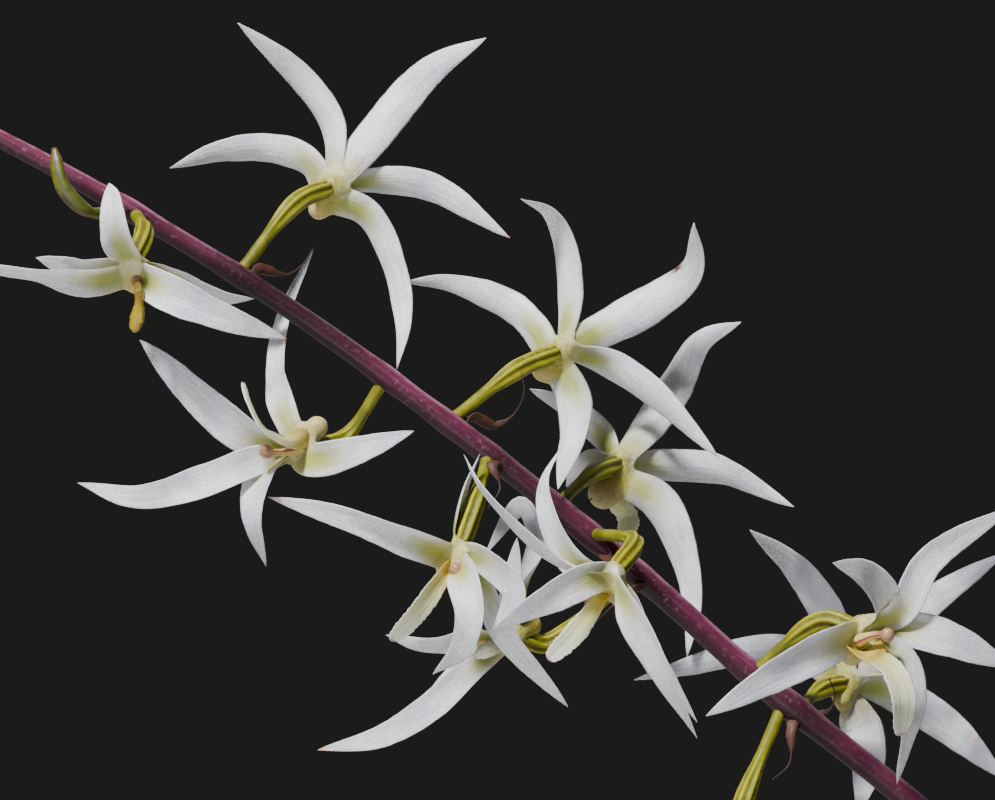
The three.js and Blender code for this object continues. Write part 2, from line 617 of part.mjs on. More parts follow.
// Buds: a short stalk that swells into a curved horn. Those past the window shrink towards the tip.
const BUDS = [
  { foot: [118, 203], bend: [88, 212, -5], heart: [54, 148, -5], size: 0.6,
    bract: [[96, 219, -7], [68, 203, -7], [51, 170, -6]] },
  { foot: [-30, 125], bend: [-38, 94, 4], heart: [-70, 52, 5], size: 1,
    bract: [[-16, 108, 1], [-24, 92, 1], [-36, 76, -1]] },
  { foot: [-100, 94], bend: [-108, 138, -5], heart: [-148, 172, -8], size: 1 },
  { foot: [-172, 64], bend: [-168, 28, 5], heart: [-204, -10, 8], size: 0.95 },
  { foot: [-245, 36], bend: [-254, 74, -5], heart: [-290, 96, -8], size: 0.85 },
  { foot: [-315, 12], bend: [-314, -18, 4], heart: [-344, -46, 6], size: 0.75 },
  { foot: [-385, -10], bend: [-392, 18, -4], heart: [-420, 32, -6], size: 0.65 },
];

function bud({ foot, bend, heart, size }) {
  const root = onStem(seen([...foot, 0])).foot;
  const swell = (t) => {
    const body = Math.min(Math.max(t - 0.4, 0) / 0.6, 0.93);
    return mix(0.55 + 0.2 * size, 1.9 * size, Math.sin(Math.PI * Math.pow(body, 0.6)));
  };
  return tube([root, seen(bend), seen(heart)], 6, 5, swell);
}

function stem() {
  const bracts = [
    ...BLOOMS.map((data) => largest(bract(data, 1).subtract(stalk(data, GAP)))),
    ...BUDS.map((data) => bract(data, 0.7)),
  ];
  return union([stemTube(0), ball(SPIKE.at(-1), 1.6 * STEM.tip), ...bracts]);
}

// Assembly
const plant = new THREE.Group();
plant.name = 'potted_eria';

function place(name, solid, colour) {
  const [color, roughness] = COLOURS[colour];
  const material = new THREE.MeshStandardMaterial({ color, roughness, metalness: 0 });
  const mesh = new THREE.Mesh(geometryOf(solid), material);
  mesh.name = name;
  plant.add(mesh);
}

const number = (i) => String(i + 1).padStart(2, '0');
const wideRhizome = rhizome(GAP);
const wideStem = stemTube(GAP);

place('pot', pot(), 'clay');
place('potting_bark', bark([wideRhizome, ...BULBS.map((one) => bulb(one, GAP))]), 'bark');
place('rhizome', rhizome(0), 'rhizome');
BULBS.forEach((one, i) => {
  place(`pseudobulb_${i + 1}`, bulb(one, 0), 'bulb');
  one.leaves.forEach((data, k) => place(`leaf_${i + 1}${'ab'[k]}`, leaf(one, data, k), 'leaf'));
});
place('flower_stem', stem(), 'stem');
BLOOMS.forEach((data, i) => {
  const wideStalk = stalk(data, GAP);
  const flower = bloom(bloomShape(data, i));
  place(`bloom_${number(i)}`, largest(flower.subtract(wideStalk)), 'bloom');
  place(`stalk_${number(i)}`, largest(stalk(data, 0).subtract(wideStem)), 'stalk');
});
BUDS.forEach((data, i) => place(`bud_${i + 1}`, largest(bud(data).subtract(wideStem)), 'bud'));

export default plant;
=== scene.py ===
"""A potted eria orchid: clay pot, bark, rhizome, bulbs, strap leaves and one arching flower spike.

The shapes are worked out in millimetres and turned into metres when a piece's mesh is made.
"""

import math
import random

import bmesh
import bpy
import numpy as np
from mathutils import Matrix, Vector, noise


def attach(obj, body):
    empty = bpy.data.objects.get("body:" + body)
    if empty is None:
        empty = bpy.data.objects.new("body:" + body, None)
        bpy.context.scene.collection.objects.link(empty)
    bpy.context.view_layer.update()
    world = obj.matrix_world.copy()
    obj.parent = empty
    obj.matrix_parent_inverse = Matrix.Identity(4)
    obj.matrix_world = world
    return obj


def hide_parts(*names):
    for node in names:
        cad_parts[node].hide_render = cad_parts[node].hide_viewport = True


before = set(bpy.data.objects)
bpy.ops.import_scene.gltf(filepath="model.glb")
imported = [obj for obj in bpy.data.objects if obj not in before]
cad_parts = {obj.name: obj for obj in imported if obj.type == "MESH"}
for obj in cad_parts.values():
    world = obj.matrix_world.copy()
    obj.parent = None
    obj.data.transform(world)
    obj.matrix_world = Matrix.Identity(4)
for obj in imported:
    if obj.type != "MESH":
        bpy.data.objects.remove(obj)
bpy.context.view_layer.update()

bl_info = {
    "name": "Potted Eria Orchid",
    "version": (1, 0, 0),
    "blender": (4, 5, 0),
    "location": "View3D > Sidebar > Orchid",
    "description": "Builds a potted orchid with one arching spike of white blooms",
    "category": "Add Mesh",
}

MM = 0.001
BODY = "root"

# The window that the spike is laid out in: the camera looks along +Y at its middle
WINDOW_MIDDLE = (-93.0, 0.0, 422.0)
WINDOW_SIZE = (995, 800)
UNIT = 0.12  # mm across one unit of the window
AWAY = 600.0  # mm from the camera to the window

BARK_LEVEL = 105.0
POT = {"height": 120, "foot": 50, "shoulder": 66, "rim": 75, "rim_depth": 25, "wall": 6.5, "floor": 9}
DRAIN = {"count": 3, "radius": 5, "out": 27}
ROOM = POT["shoulder"] - POT["wall"]

# The flower stem's line, from the youngest bulb to the last bud: across, down, and depth in mm
SPIKE = [
    (1579, 2390, -6), (1545, 1850, -4), (1400, 1420, -1), (1230, 1118, 0), (1060, 930, 0), (905, 797, 0),
    (755, 677, 0), (650, 584, 0), (457, 430, 0), (250, 283, 0), (0, 139, 0), (-150, 72, 0), (-300, 16, 0),
    (-400, -14, 0), (-490, -38, 0),
]

# How dark the blooms' shade makes the stem, from 0 to 1, at places across the window
STEM_SHADE = [
    (0, 0.15), (60, 0.3), (150, 0.2), (205, 0.5), (260, 1.0), (350, 0.85), (400, 0.15), (450, 0.35),
    (500, 0.9), (560, 0.65), (620, 0.2), (680, 0.35), (760, 0.1), (800, 0.8), (870, 0.6), (920, 0.3),
]


def tepal(wide, roll, *way, **quirks):
    """One tepal: its width in mm, its roll in degrees, its way from the heart, and what sets it apart.

    Tone is how strongly it is marked, shade how much of the others' shade it lies in, and burn how far along
    it is scorched. A lip's flare is how wide its foot is, and amber how amber it is.
    """
    return {"wide": wide, "roll": roll, "way": way, **quirks}


# The blooms from the tip of the spike to its foot, with tepals that go round from the dorsal sepal. A stalk
# runs from its foot on the stem by the bend to the heart. Nods is where the column and the lip's foot point,
# if not where the bloom faces. Share is how near the chin the lateral sepals grow, bulge is the chin's size,
# and shade is how much of the others' shade the bloom lies in. One without tepals has them spread evenly.
BLOOMS = [
    {
        "heart": (133, 264, -12), "faces": (-0.22, -0.82, -0.5), "foot": (136, 214), "bend": (144, 234, -8),
        "column": [(134, 266, -10.5), (138, 280, -12.3)],
        "tepals": [
            tepal(4.0, 0, (119, 242, -17), (112, 208, -18), (109, 183, -14)),
            tepal(3.4, 0, (98, 268, -8), (66, 267, -5), (36, 258, 0)),
            tepal(4.0, -20, (88, 281, -14), (30, 274, -14), (-24, 267, -11)),
            tepal(4.3, -35, (165, 291, -17), (215, 314, -17), (287, 339, -13)),
            tepal(3.4, 0, (168, 277, -9), (218, 297, -7), (254, 299, -6)),
        ],
        "lip": tepal(1.8, 0, (139, 290, -15), (139, 311, -15), (134, 332, -14), amber=1.0),
        "chin": (137, 283, -10), "bract": [(146, 222, -2), (154, 234, -5), (149, 252, -8)],
    },
    {
        "heart": (333, 186, 9), "faces": (0.35, 0.85, 0.35), "foot": (238, 276), "bend": (296, 203, 4),
        "tepals": [
            tepal(4.7, 0, (372, 136, 12), (430, 71, 13), (486, 38, 10)),
            tepal(3.7, 20, (331, 124, 13), (301, 78, 13), (238, 23, 9)),
            tepal(4.0, 5, (309, 163, 11), (271, 149, 13), (222, 151, 12), (170, 168, 8)),
            tepal(4.0, -5, (366, 214, 10), (394, 270, 9), (403, 322, 6), (397, 369, 3.5)),
            tepal(4.0, 0, (382, 181, 13), (432, 188, 13), (510, 238, 9)),
        ],
        "lip": tepal(2.6, 0, (326, 205, 15), (338, 205, 20), (352, 216, 21)),
        "chin": (319, 209, 10), "bract": [(256, 272, 1), (286, 275, 3), (303, 264, 4), (313, 248, 4)],
    },
    {
        "heart": (295, 449, -6), "faces": (-0.68, -0.72, -0.1), "foot": (385, 378), "bend": (345, 437, 1),
        "shade": 0.3, "nods": (-0.8, -0.6, -0.05), "share": 0.2,
        "column": [(300, 450, -7), (266, 452, -12.5)],
        "tepals": [
            tepal(3.9, 0, (248, 464, -11), (206, 481, -13), (140, 497, -13), (78, 483, -9)),
            tepal(3.6, -15, (262, 474, -11), (252, 515, -13), (266, 566, -10)),
            tepal(4.1, 0, (312, 460, -9), (352, 452, -11), (414, 431, -10)),
            tepal(3.4, 15, (286, 418, -4), (277, 372, 1), (284, 315, 5.5), (313, 250, 7), tone=0.5),
            tepal(4.9, 10, (254, 440, -10), (202, 400, -10), (140, 340, -5)),
        ],
        "lip": tepal(2.1, -25, (285, 441, -12), (262, 428, -15), (250, 406, -15), (243, 382, -12), flare=1.3),
        "chin": (317, 427, -4), "bract": [(390, 384, 3), (398, 392, 5), (410, 392, 6)],
    },
    {
        "heart": (563, 350, 9), "faces": (0.4, 0.85, 0.25), "foot": (452, 424), "bend": (518, 369, 5),
        "shade": 0.1,
        "tepals": [
            tepal(4.9, 0, (600, 331, 12), (656, 300, 12), (692, 270, 9), (694, 223, 5), burn=0.68),
            tepal(3.7, 0, (569, 300, 13), (563, 240, 13), (549, 213, 11), (521, 199, 8)),
            tepal(4.0, 10, (532, 326, 12), (505, 303, 14), (448, 283, 14), (403, 282, 13)),
            tepal(4.3, -25, (572, 392, 8), (573, 430, 5), (558, 489, -2)),
            tepal(4.1, 0, (610, 365, 13), (655, 395, 12), (718, 457, 8)),
        ],
        "lip": tepal(2.6, 0, (556, 368, 15), (566, 370, 20), (578, 382, 21)),
        "chin": (543, 371, 9),
        "bract": [(470, 419, 1), (494, 427, 3), (514, 414, 3), (524, 392, 2), (521, 372, 2)],
    },
    {
        "heart": (620, 462, 14), "faces": (0.5, 0.82, 0.2), "foot": (556, 505), "bend": (590, 475, 7),
        "shade": 0.15,
        "tepals": [
            tepal(4.6, 0, (646, 428, 18), (674, 388, 19), (700, 343, 17), (741, 322, 13)),
            tepal(3.8, 0, (596, 430, 19), (564, 405, 19), (530, 389, 16)),
            tepal(3.8, 0, (594, 464, 16), (577, 478, 21), (566, 486, 28)),
            tepal(4.5, -12, (656, 498, 12), (683, 556, 10), (692, 606, 8), (687, 657, 7)),
            tepal(4.1, 0, (662, 465, 18), (720, 471, 19), (794, 507, 15)),
        ],
        "lip": tepal(3.0, 0, (612, 498, 16), (626, 516, 17), (624, 544, 15)),
        "chin": (604, 493, 12), "bulge": 1.5, "bract": [(566, 512, 3), (580, 510, 6), (592, 498, 8)],
    },
    {
        "heart": (459, 551, -9), "faces": (-0.15, -0.85, -0.48), "foot": (488, 452), "bend": (476, 500, -6),
        "nods": (-0.05, -0.95, -0.3), "column": [(458, 560, -9), (457, 568, -12)],
        "tepals": [
            tepal(3.6, 0, (488, 563, -14), (514, 592, -15), (492, 634, -13)),
            tepal(2.6, 75, (456, 530, -8), (464, 492, -7), (480, 454, -5)),
            tepal(3.9, 5, (416, 544, -13), (349, 519, -14), (268, 497, -10)),
            tepal(4.0, 0, (464, 580, -15), (470, 614, -17), (460, 650, -15), (433, 674, -11)),
            tepal(3.5, 0, (484, 586, -10), (506, 636, -8), (568, 707, -5)),
        ],
        "lip": tepal(2.6, -20, (442, 576, -13), (420, 608, -15), (391, 641, -13)),
        "chin": (447, 567, -9), "bract": [(494, 465, -3), (500, 488, -4), (488, 508, -6)], "bract_roll": 70,
    },
    {
        "heart": (614, 574, -14), "faces": (-0.55, -0.45, -0.7), "foot": (588, 532), "bend": (634, 541, -7),
        "nods": (-0.45, 0.6, -0.6),
        "tepals": [
            tepal(4.2, 50, (582, 582, -19), (544, 601, -21), (491, 631, -20)),
            tepal(3.2, -5, (570, 566, -18), (524, 532, -19), (482, 488, -17), (464, 455, -14)),
            tepal(3.6, 35, (574, 563, -16), (548, 515, -14), (544, 480, -11), (568, 438, -8)),
            tepal(3.4, 0, (636, 612, -13), (667, 672, -12), (697, 722, -11)),
            tepal(4.6, -10, (627, 606, -18), (657, 663, -19), (697, 738, -16)),
        ],
        "lip": tepal(2.3, 0, (599, 600, -15), (576, 632, -16), (548, 660, -14)),
        "chin": (607, 588, -13), "bract": [(610, 558, -2.5), (620, 564, -3.5), (636, 570, -4)],
    },
    {
        "heart": (512, 636, -1), "faces": (-0.85, -0.2, -0.4), "foot": (632, 574), "bend": (548, 643, 2),
        "shade": 0.2,
        "tepals": [
            tepal(3.6, 0, (476, 668, -3), (430, 708, -4), (380, 737, -2), (318, 750, 1)),
            tepal(3.4, 0, (470, 664, 2), (424, 700, 4)),
            tepal(3.5, 20, (470, 640, 0), (425, 645, 0), (386, 635, 0)),
            tepal(3.6, 40, (524, 590, 1), (538, 540, 4), (522, 506, 6), (485, 554, 7)),
            tepal(2.6, 70, (510, 610, -2), (513, 575, -3), (517, 538, -3)),
        ],
        "lip": tepal(1.8, 0, (502, 642, -5), (488, 650, -7), (474, 656, -6)),
        "chin": (527, 625, 1), "bulge": 1.3, "bract": [(628, 594, -2.5), (606, 612, -3), (582, 638, -3)],
    },
    {
        "heart": (860, 627, -5), "faces": (0.78, -0.6, -0.05), "foot": (750, 672), "bend": (822, 620, -3),
        "shade": 0.25, "nods": (0.9, -0.4, 0.15), "column": [(858, 641, -7), (887, 634, -11)],
        "tepals": [
            tepal(3.8, -26, (899, 613, -8), (928, 562, -9), (1012, 507, -5), shade=0.0, tone=0.45),
            tepal(4.3, 0, (885, 606, -9), (868, 577, -13), (833, 563, -18)),
            tepal(5.0, 12, (846, 640, -8), (806, 658, -11), (706, 716, -12)),
            tepal(4.0, 20, (900, 660, -9), (912, 700, -9), (897, 784, -5)),
            tepal(4.8, 0, (904, 629, -7), (950, 640, -8), (1014, 668, -6)),
        ],
        "lip": tepal(3.0, 50, (872, 658, -10), (893, 672, -14), (903, 700, -15), (900, 736, -13), flare=1.45),
        "chin": (852, 655, -6), "bract": [(762, 678, 2), (776, 684, 4), (788, 680, 5)],
    },
    {
        "heart": (848, 682, 12), "faces": (0.6, 0.78, 0.1), "foot": (795, 712), "bend": (820, 690, 7),
        "shade": 0.75,
        "tepals": [
            tepal(4.6, 0, (884, 648, 18), (930, 602, 20), (1006, 552, 17)),
            tepal(4.4, 25, (836, 635, 17), (800, 573, 17), (750, 530, 13)),
            tepal(3.9, 0, (806, 656, 12), (750, 651, 10), (690, 666, 9), (634, 680, 8)),
            tepal(5.0, -25, (858, 714, 11), (868, 755, 9), (858, 816, 6)),
            tepal(5.0, -12, (888, 692, 16), (944, 724, 17), (1006, 780, 14)),
        ],
        "lip": tepal(2.6, 0, (852, 702, 16), (864, 708, 20), (880, 722, 20)),
        "chin": (842, 699, 10), "bulge": 0.8,
        "bract": [(812, 719, 2), (829, 711, 2.5), (835, 695, 2.5), (829, 678, 3)],
    },
    {
        "heart": (726, 862, -4), "faces": (-0.3, -0.2, -0.93), "foot": (786, 702), "bend": (744, 800, -3),
        "turn": 10, "bract": [(793, 732, -2), (789, 764, -3), (772, 780, -4)], "bract_roll": 75,
    },
    {
        "heart": (990, 945, 14), "faces": (0.2, 0.95, -0.2), "foot": (952, 838), "bend": (975, 895, 8),
        "turn": 260,
    },
    {
        "heart": (930, 1015, -12), "faces": (-0.6, -0.75, -0.25), "foot": (1030, 903), "bend": (975, 975, -9),
        "turn": 150,
    },
    {
        "heart": (1215, 975, 2), "faces": (0.85, -0.35, 0.35), "foot": (1105, 975), "bend": (1170, 958, 0),
        "turn": 40,
    },
    {
        "heart": (1085, 1160, 12), "faces": (-0.55, 0.8, -0.2), "foot": (1180, 1055), "bend": (1120, 1115, 9),
        "turn": 100,
    },
]

# The buds beyond the blooms. By is one more place on a bud's way, between the bend and its point.
BUDS = [
    {"foot": (118, 203), "bend": (90, 212, -5), "by": (64, 188, -6), "heart": (54, 148, -5), "size": 0.5,
     "bract": [(96, 219, -7), (76, 210, -7), (62, 196, -7)]},
    {"foot": (-30, 125), "bend": (-38, 94, 4), "heart": (-70, 52, 5), "size": 1.0,
     "bract": [(-16, 108, 1), (-24, 92, 1), (-36, 76, -1)]},
    {"foot": (-100, 94), "bend": (-108, 138, -5), "heart": (-148, 172, -8), "size": 1.0},
    {"foot": (-172, 64), "bend": (-168, 28, 5), "heart": (-204, -10, 8), "size": 0.95},
    {"foot": (-245, 36), "bend": (-254, 74, -5), "heart": (-290, 96, -8), "size": 0.85},
    {"foot": (-315, 12), "bend": (-314, -18, 4), "heart": (-344, -46, 6), "size": 0.75},
    {"foot": (-385, -10), "bend": (-392, 18, -4), "heart": (-420, 32, -6), "size": 0.65},
]

# The bulbs from the oldest to the one that flowers. A leaf is heading, reach, rise and droop.
BULBS = [
    {"at": (-46, -5), "height": 44, "wide": 9.5, "leaves": []},
    {"at": (-26, 7), "height": 60, "wide": 10.5, "leaves": [(208, 168, 82, 44), (114, 176, 112, 50)]},
    {"at": (-5, -7), "height": 68, "wide": 11, "leaves": [(246, 176, 88, 52), (108, 190, 120, 60)]},
    {"at": (16, 7), "height": 74, "wide": 11.5, "leaves": [(282, 184, 96, 60), (78, 192, 128, 58)]},
    {"at": (37, -6), "height": 80, "wide": 12, "leaves": [(322, 192, 108, 62), (54, 204, 138, 66)]},
]
RHIZOME = {"radius": 4.6, "level": BARK_LEVEL + 2}
COLLAR_TOP = BARK_LEVEL + 8
APEX = 4.4
LEAF_WIDE = 44.0
BULB_RIBS = 9
STALK_RIBS = 6
STALK_TWIST = 2.2  # how far its ribs wind round it, in radians
COLUMN_LONG = 4.6
BUD_LOBES = 3
CHIP_SIZE = (17, 11.5, 6.5)
ROOTS = [(0, 255, 30), (1, 95, 30), (2, 240, 36), (3, 60, 30), (3, 300, 36), (4, 25, 20)]


# Lines and frames along them

def seen(across, down, depth):
    """The point in mm that shows at this place of the window, at a depth behind its plane."""
    step = UNIT * (1 + depth / AWAY)
    return np.array((
        WINDOW_MIDDLE[0] + (across - WINDOW_SIZE[0] / 2) * step,
        depth,
        WINDOW_MIDDLE[2] + (WINDOW_SIZE[1] / 2 - down) * step,
    ))


def unit(vector):
    vector = np.asarray(vector, float)
    return vector / np.linalg.norm(vector)


def smooth(t):
    """From 0 to 1 as t does, eased at both ends."""
    t = np.clip(t, 0, 1)
    return t * t * (3 - 2 * t)


def mix(a, b, t):
    return a + (b - a) * t


FINE = 24  # the short lengths that each stretch of a smooth line is measured in


def smooth_way(points, steps):
    """Evenly spaced places along a smooth line through the points, ends included."""
    points = np.array(points, float)
    if len(points) == 2:
        return points[0] + (points[1] - points[0]) * np.linspace(0, 1, steps + 1)[:, None]
    points = np.vstack([2 * points[0] - points[1], points, 2 * points[-1] - points[-2]])
    share = np.linspace(0, 1, FINE + 1)[:-1, None]
    stretches = []
    for a, b, c, d in zip(points, points[1:], points[2:], points[3:]):
        first, middle, last = (np.linalg.norm(q - p) ** 0.5 for p, q in ((a, b), (b, c), (c, d)))
        leave = ((b - a) / first - (c - a) / (first + middle) + (c - b) / middle) * middle
        arrive = ((c - b) / middle - (d - b) / (middle + last) + (d - c) / last) * middle
        bow = -3 * b + 3 * c - 2 * leave - arrive
        stretches.append(b + leave * share + bow * share**2 + (2 * b - 2 * c + leave + arrive) * share**3)
    fine = np.vstack([*stretches, points[-2]])
    run = np.concatenate([[0], np.cumsum(np.linalg.norm(np.diff(fine, axis=0), axis=1))])
    even = np.linspace(0, run[-1], steps + 1)
    return np.stack([np.interp(even, run, fine[:, k]) for k in range(3)], 1)


def carried_frame(places, facing, roll=0.0):
    """The side and the up direction at each place. Up faces the given way at the middle of the line."""
    ahead = np.gradient(places, axis=0)
    ahead /= np.linalg.norm(ahead, axis=1)[:, None]
    up = np.zeros_like(places)
    half = (len(places) - 1) // 2

    def square(vector, i):
        return unit(vector - ahead[i] * (vector @ ahead[i]))

    up[half] = square(np.asarray(facing, float), half)
    for i in range(half + 1, len(places)):
        up[i] = square(up[i - 1], i)
    for i in range(half - 1, -1, -1):
        up[i] = square(up[i + 1], i)
    angle = np.radians(np.broadcast_to(roll, len(places)))[:, None]
    up = up * np.cos(angle) + np.cross(ahead, up) * np.sin(angle)
    return np.cross(up, ahead), up


SPIKE_STEPS = 400
SPIKE_LINE = smooth_way([seen(*p) for p in SPIKE], SPIKE_STEPS)


def on_stem(foot):
    """The stem's axis nearest to a place in the window, and the direction to the stem's foot there."""
    place = seen(*foot, 0)
    i = int(np.argmin(np.linalg.norm(SPIKE_LINE - place, axis=1)))
    down = unit(SPIKE_LINE[max(i - 3, 0)] - SPIKE_LINE[min(i + 3, SPIKE_STEPS)])
    return SPIKE_LINE[i], down


# Meshes

class Skin:
    """Gathers the points and faces of one piece, in mm, with the marks that its finish reads at each point.

    Along and across are where a point lies on its blade or tube. Tone is how strongly it is marked, and reach
    is how far it lies from the heart. Halo and flush are its yellow by the stalk and on the chin, shade is
    how dark the others' shade makes it, and burn is how scorched it is.
    """

    MARKS = ("along", "across", "tone", "reach", "halo", "flush", "shade", "burn")

    def __init__(self):
        self.points = []
        self.faces = []
        self.kinds = []
        self.marks = {name: [] for name in self.MARKS}

    def add(self, points, faces, kind=0, **marks):
        start = sum(len(p) for p in self.points)
        self.points.append(np.asarray(points, float))
        self.faces += [tuple(start + i for i in face) for face in faces]
        self.kinds += [kind] * len(faces)
        for name in self.MARKS:
            value = np.broadcast_to(np.asarray(marks.get(name, 0.0), float), len(points))
            self.marks[name].append(value)

    def loft(self, rings, kind=0, along=None, across=0.0, **marks):
        """Joins rings of points, an array of rings by points by 3, into a tube with closed ends.

        Along and the other marks are one number or one for each ring. Across may be one for each point.
        """
        count, sides = rings.shape[:2]
        faces = [
            (low + k, low + (k + 1) % sides, low + sides + (k + 1) % sides, low + sides + k)
            for low in range(0, (count - 1) * sides, sides)
            for k in range(sides)
        ]
        faces.append(tuple(range(sides))[::-1])
        faces.append(tuple(range((count - 1) * sides, count * sides)))
        along = np.linspace(0, 1, count) if along is None else np.asarray(along, float)
        across = np.broadcast_to(np.asarray(across, float), (count, sides)).reshape(-1)
        marks = {name: np.repeat(np.broadcast_to(value, count), sides) for name, value in marks.items()}
        self.add(rings.reshape(-1, 3), faces, kind, along=np.repeat(along, sides), across=across, **marks)

    def tube(self, rings, kind=0, **marks):
        """A loft that marks how far round it each point lies, from 0 to 1."""
        self.loft(rings, kind, across=np.arange(rings.shape[1]) / rings.shape[1], **marks)

    def piece(self, name, materials):
        """Makes the Blender object, in metres."""
        mesh = bpy.data.meshes.new(name)
        mesh.from_pydata((np.vstack(self.points) * MM).tolist(), [], self.faces)
        for material in materials:
            mesh.materials.append(material)
        mesh.polygons.foreach_set("material_index", self.kinds)
        mesh.polygons.foreach_set("use_smooth", [True] * len(self.kinds))
        for mark, values in self.marks.items():
            values = np.concatenate(values).astype(np.float32)
            if values.any():
                mesh.attributes.new(mark, "FLOAT", "POINT").data.foreach_set("value", values)
        face_outwards(mesh)
        made = bpy.data.objects.new(name, mesh)
        bpy.context.scene.collection.objects.link(made)
        return made


def face_outwards(mesh):
    shape = bmesh.new()
    shape.from_mesh(mesh)
    bmesh.ops.recalc_face_normals(shape, faces=shape.faces)
    shape.to_mesh(mesh)
    shape.free()
    mesh.update()


def settle(made, slot, *nodes):
    """Fixes a finished piece to the plant, in place of the plain solids that it stands for."""
    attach(made, BODY)
    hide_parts(*nodes)


def tube_rings(places, radius, sides, facing=(0.3, -1, 0.2)):
    """Rings round a line. The radius is one number, one for each ring, or one for each point."""
    side, up = carried_frame(places, facing)
    turn = 2 * np.pi * np.arange(sides) / sides
    radius = np.asarray(radius, float)
    if radius.ndim < 2:
        radius = np.broadcast_to(radius.reshape(-1, 1), (len(places), sides))
    return (
        places[:, None]
        + side[:, None] * (radius * np.cos(turn))[..., None]
        + up[:, None] * (radius * np.sin(turn))[..., None]
    )


def turned_rings(radius, levels, sides, middle=(0, 0)):
    """Rings round an upright axis. The radius is one number, one for each level, or one for each point."""
    turn = 2 * np.pi * np.arange(sides) / sides
    rings = np.broadcast_arrays(
        middle[0] + radius * np.cos(turn), middle[1] + radius * np.sin(turn), levels[:, None],
    )
    return np.stack(rings, -1)


def blade_rings(places, side, up, half, thick, fold, cells=9):
    """Rings of a thin folded blade: half its width and its thickness along it, and its fold across."""
    span = np.cos(np.linspace(0, np.pi, cells))
    round_span = np.concatenate([span, span[::-1][1:-1]])
    face = np.concatenate([np.ones(cells), -np.ones(cells - 2)])
    face[0] = face[cells - 1] = 0
    half, thick, fold = (np.broadcast_to(v, len(places))[:, None] for v in (half, thick, fold))
    body = thick / 2 * np.sqrt(np.clip(1 - round_span**2, 0, 1)) * face
    rise = half * fold * (round_span**2 - 0.35) + body
    rings = places[:, None] + side[:, None] * (half * round_span)[..., None] + up[:, None] * rise[..., None]
    return rings, np.broadcast_to(round_span, (len(places), len(round_span)))


def field_surface(field, low, high, cell):
    """The surface where a field is 0, as points and four-sided faces, from a grid of cells."""
    axes = [np.arange(a, b + cell, cell, dtype=np.float32) for a, b in zip(low, high)]
    grid = np.stack(np.meshgrid(*axes, indexing="ij"), -1)
    inside = field(grid.reshape(-1, 3)).reshape(grid.shape[:3]) < 0
    ends = (slice(None, -1), slice(1, None))
    corners = sum(inside[a, b, c].astype(int) for a in ends for b in ends for c in ends)
    crossed = (corners > 0) & (corners < 8)
    index = np.cumsum(crossed.reshape(-1)).reshape(crossed.shape) - 1
    points = grid[:-1, :-1, :-1][crossed] + cell / 2
    faces = []
    for axis in range(3):
        filled, number = np.moveaxis(inside, axis, 0), np.moveaxis(index, axis, 0)
        i, j, k = np.nonzero(filled[:-1, 1:-1, 1:-1] != filled[1:, 1:-1, 1:-1])
        around = ((0, 0), (1, 0), (1, 1), (0, 1))
        faces += np.stack([number[i, j + a, k + b] for a, b in around], 1).tolist()
    for _ in range(4):
        points = onto_surface(field, points, cell)
    return points, faces


def onto_surface(field, points, cell):
    """Moves points along the field's slope to where it is 0, by no more than a cell."""
    step = 0.1 * cell
    here = field(points)
    ways = np.eye(3, dtype=np.float32)
    slope = np.stack([field(points + step * way) - here for way in ways], 1) / step
    move = here[:, None] * slope / np.maximum(np.sum(slope * slope, 1), 0.2)[:, None]
    return points - np.clip(move, -cell, cell)


def wobble(seed, t, scale, size):
    """Smooth seeded wandering along t, for edges that aren't quite even."""
    return np.array([noise.noise(Vector((seed * 7.31, scale * v, 0.5))) for v in t]) * size


def unit_ball(rings=12, sides=18):
    """Rings of a ball of radius 1 about the origin, from pole to pole along +Z."""
    tilt = np.linspace(0.02, np.pi - 0.02, rings)
    return turned_rings(np.sin(tilt)[:, None], np.cos(tilt), sides)


# Shader maths

class Value:
    """What comes out of a node, so that shader maths can be written as an expression."""

    def __init__(self, paint, socket):
        self.paint = paint
        self.socket = socket

    def maths(self, operation, *values):
        return self.paint.node("Math", {"operation": operation}, dict(enumerate(values)))

    def __add__(self, other):
        return self.maths("ADD", self, other)

    def __radd__(self, other):
        return self.maths("ADD", other, self)

    def __sub__(self, other):
        return self.maths("SUBTRACT", self, other)

    def __rsub__(self, other):
        return self.maths("SUBTRACT", other, self)

    def __mul__(self, other):
        return self.maths("MULTIPLY", self, other)

    def __gt__(self, other):
        return self.maths("GREATER_THAN", self, other)

    def size(self):
        return self.maths("ABSOLUTE", self)

    def sine(self):
        return self.maths("SINE", self)

    def cosine(self):
        return self.maths("COSINE", self)

    def between(self, low, high):
        """0 below low, 1 above high, and smooth between them."""
        settings = {"interpolation_type": "SMOOTHSTEP"}
        return self.paint.node("MapRange", settings, {"Value": self, "From Min": low, "From Max": high})


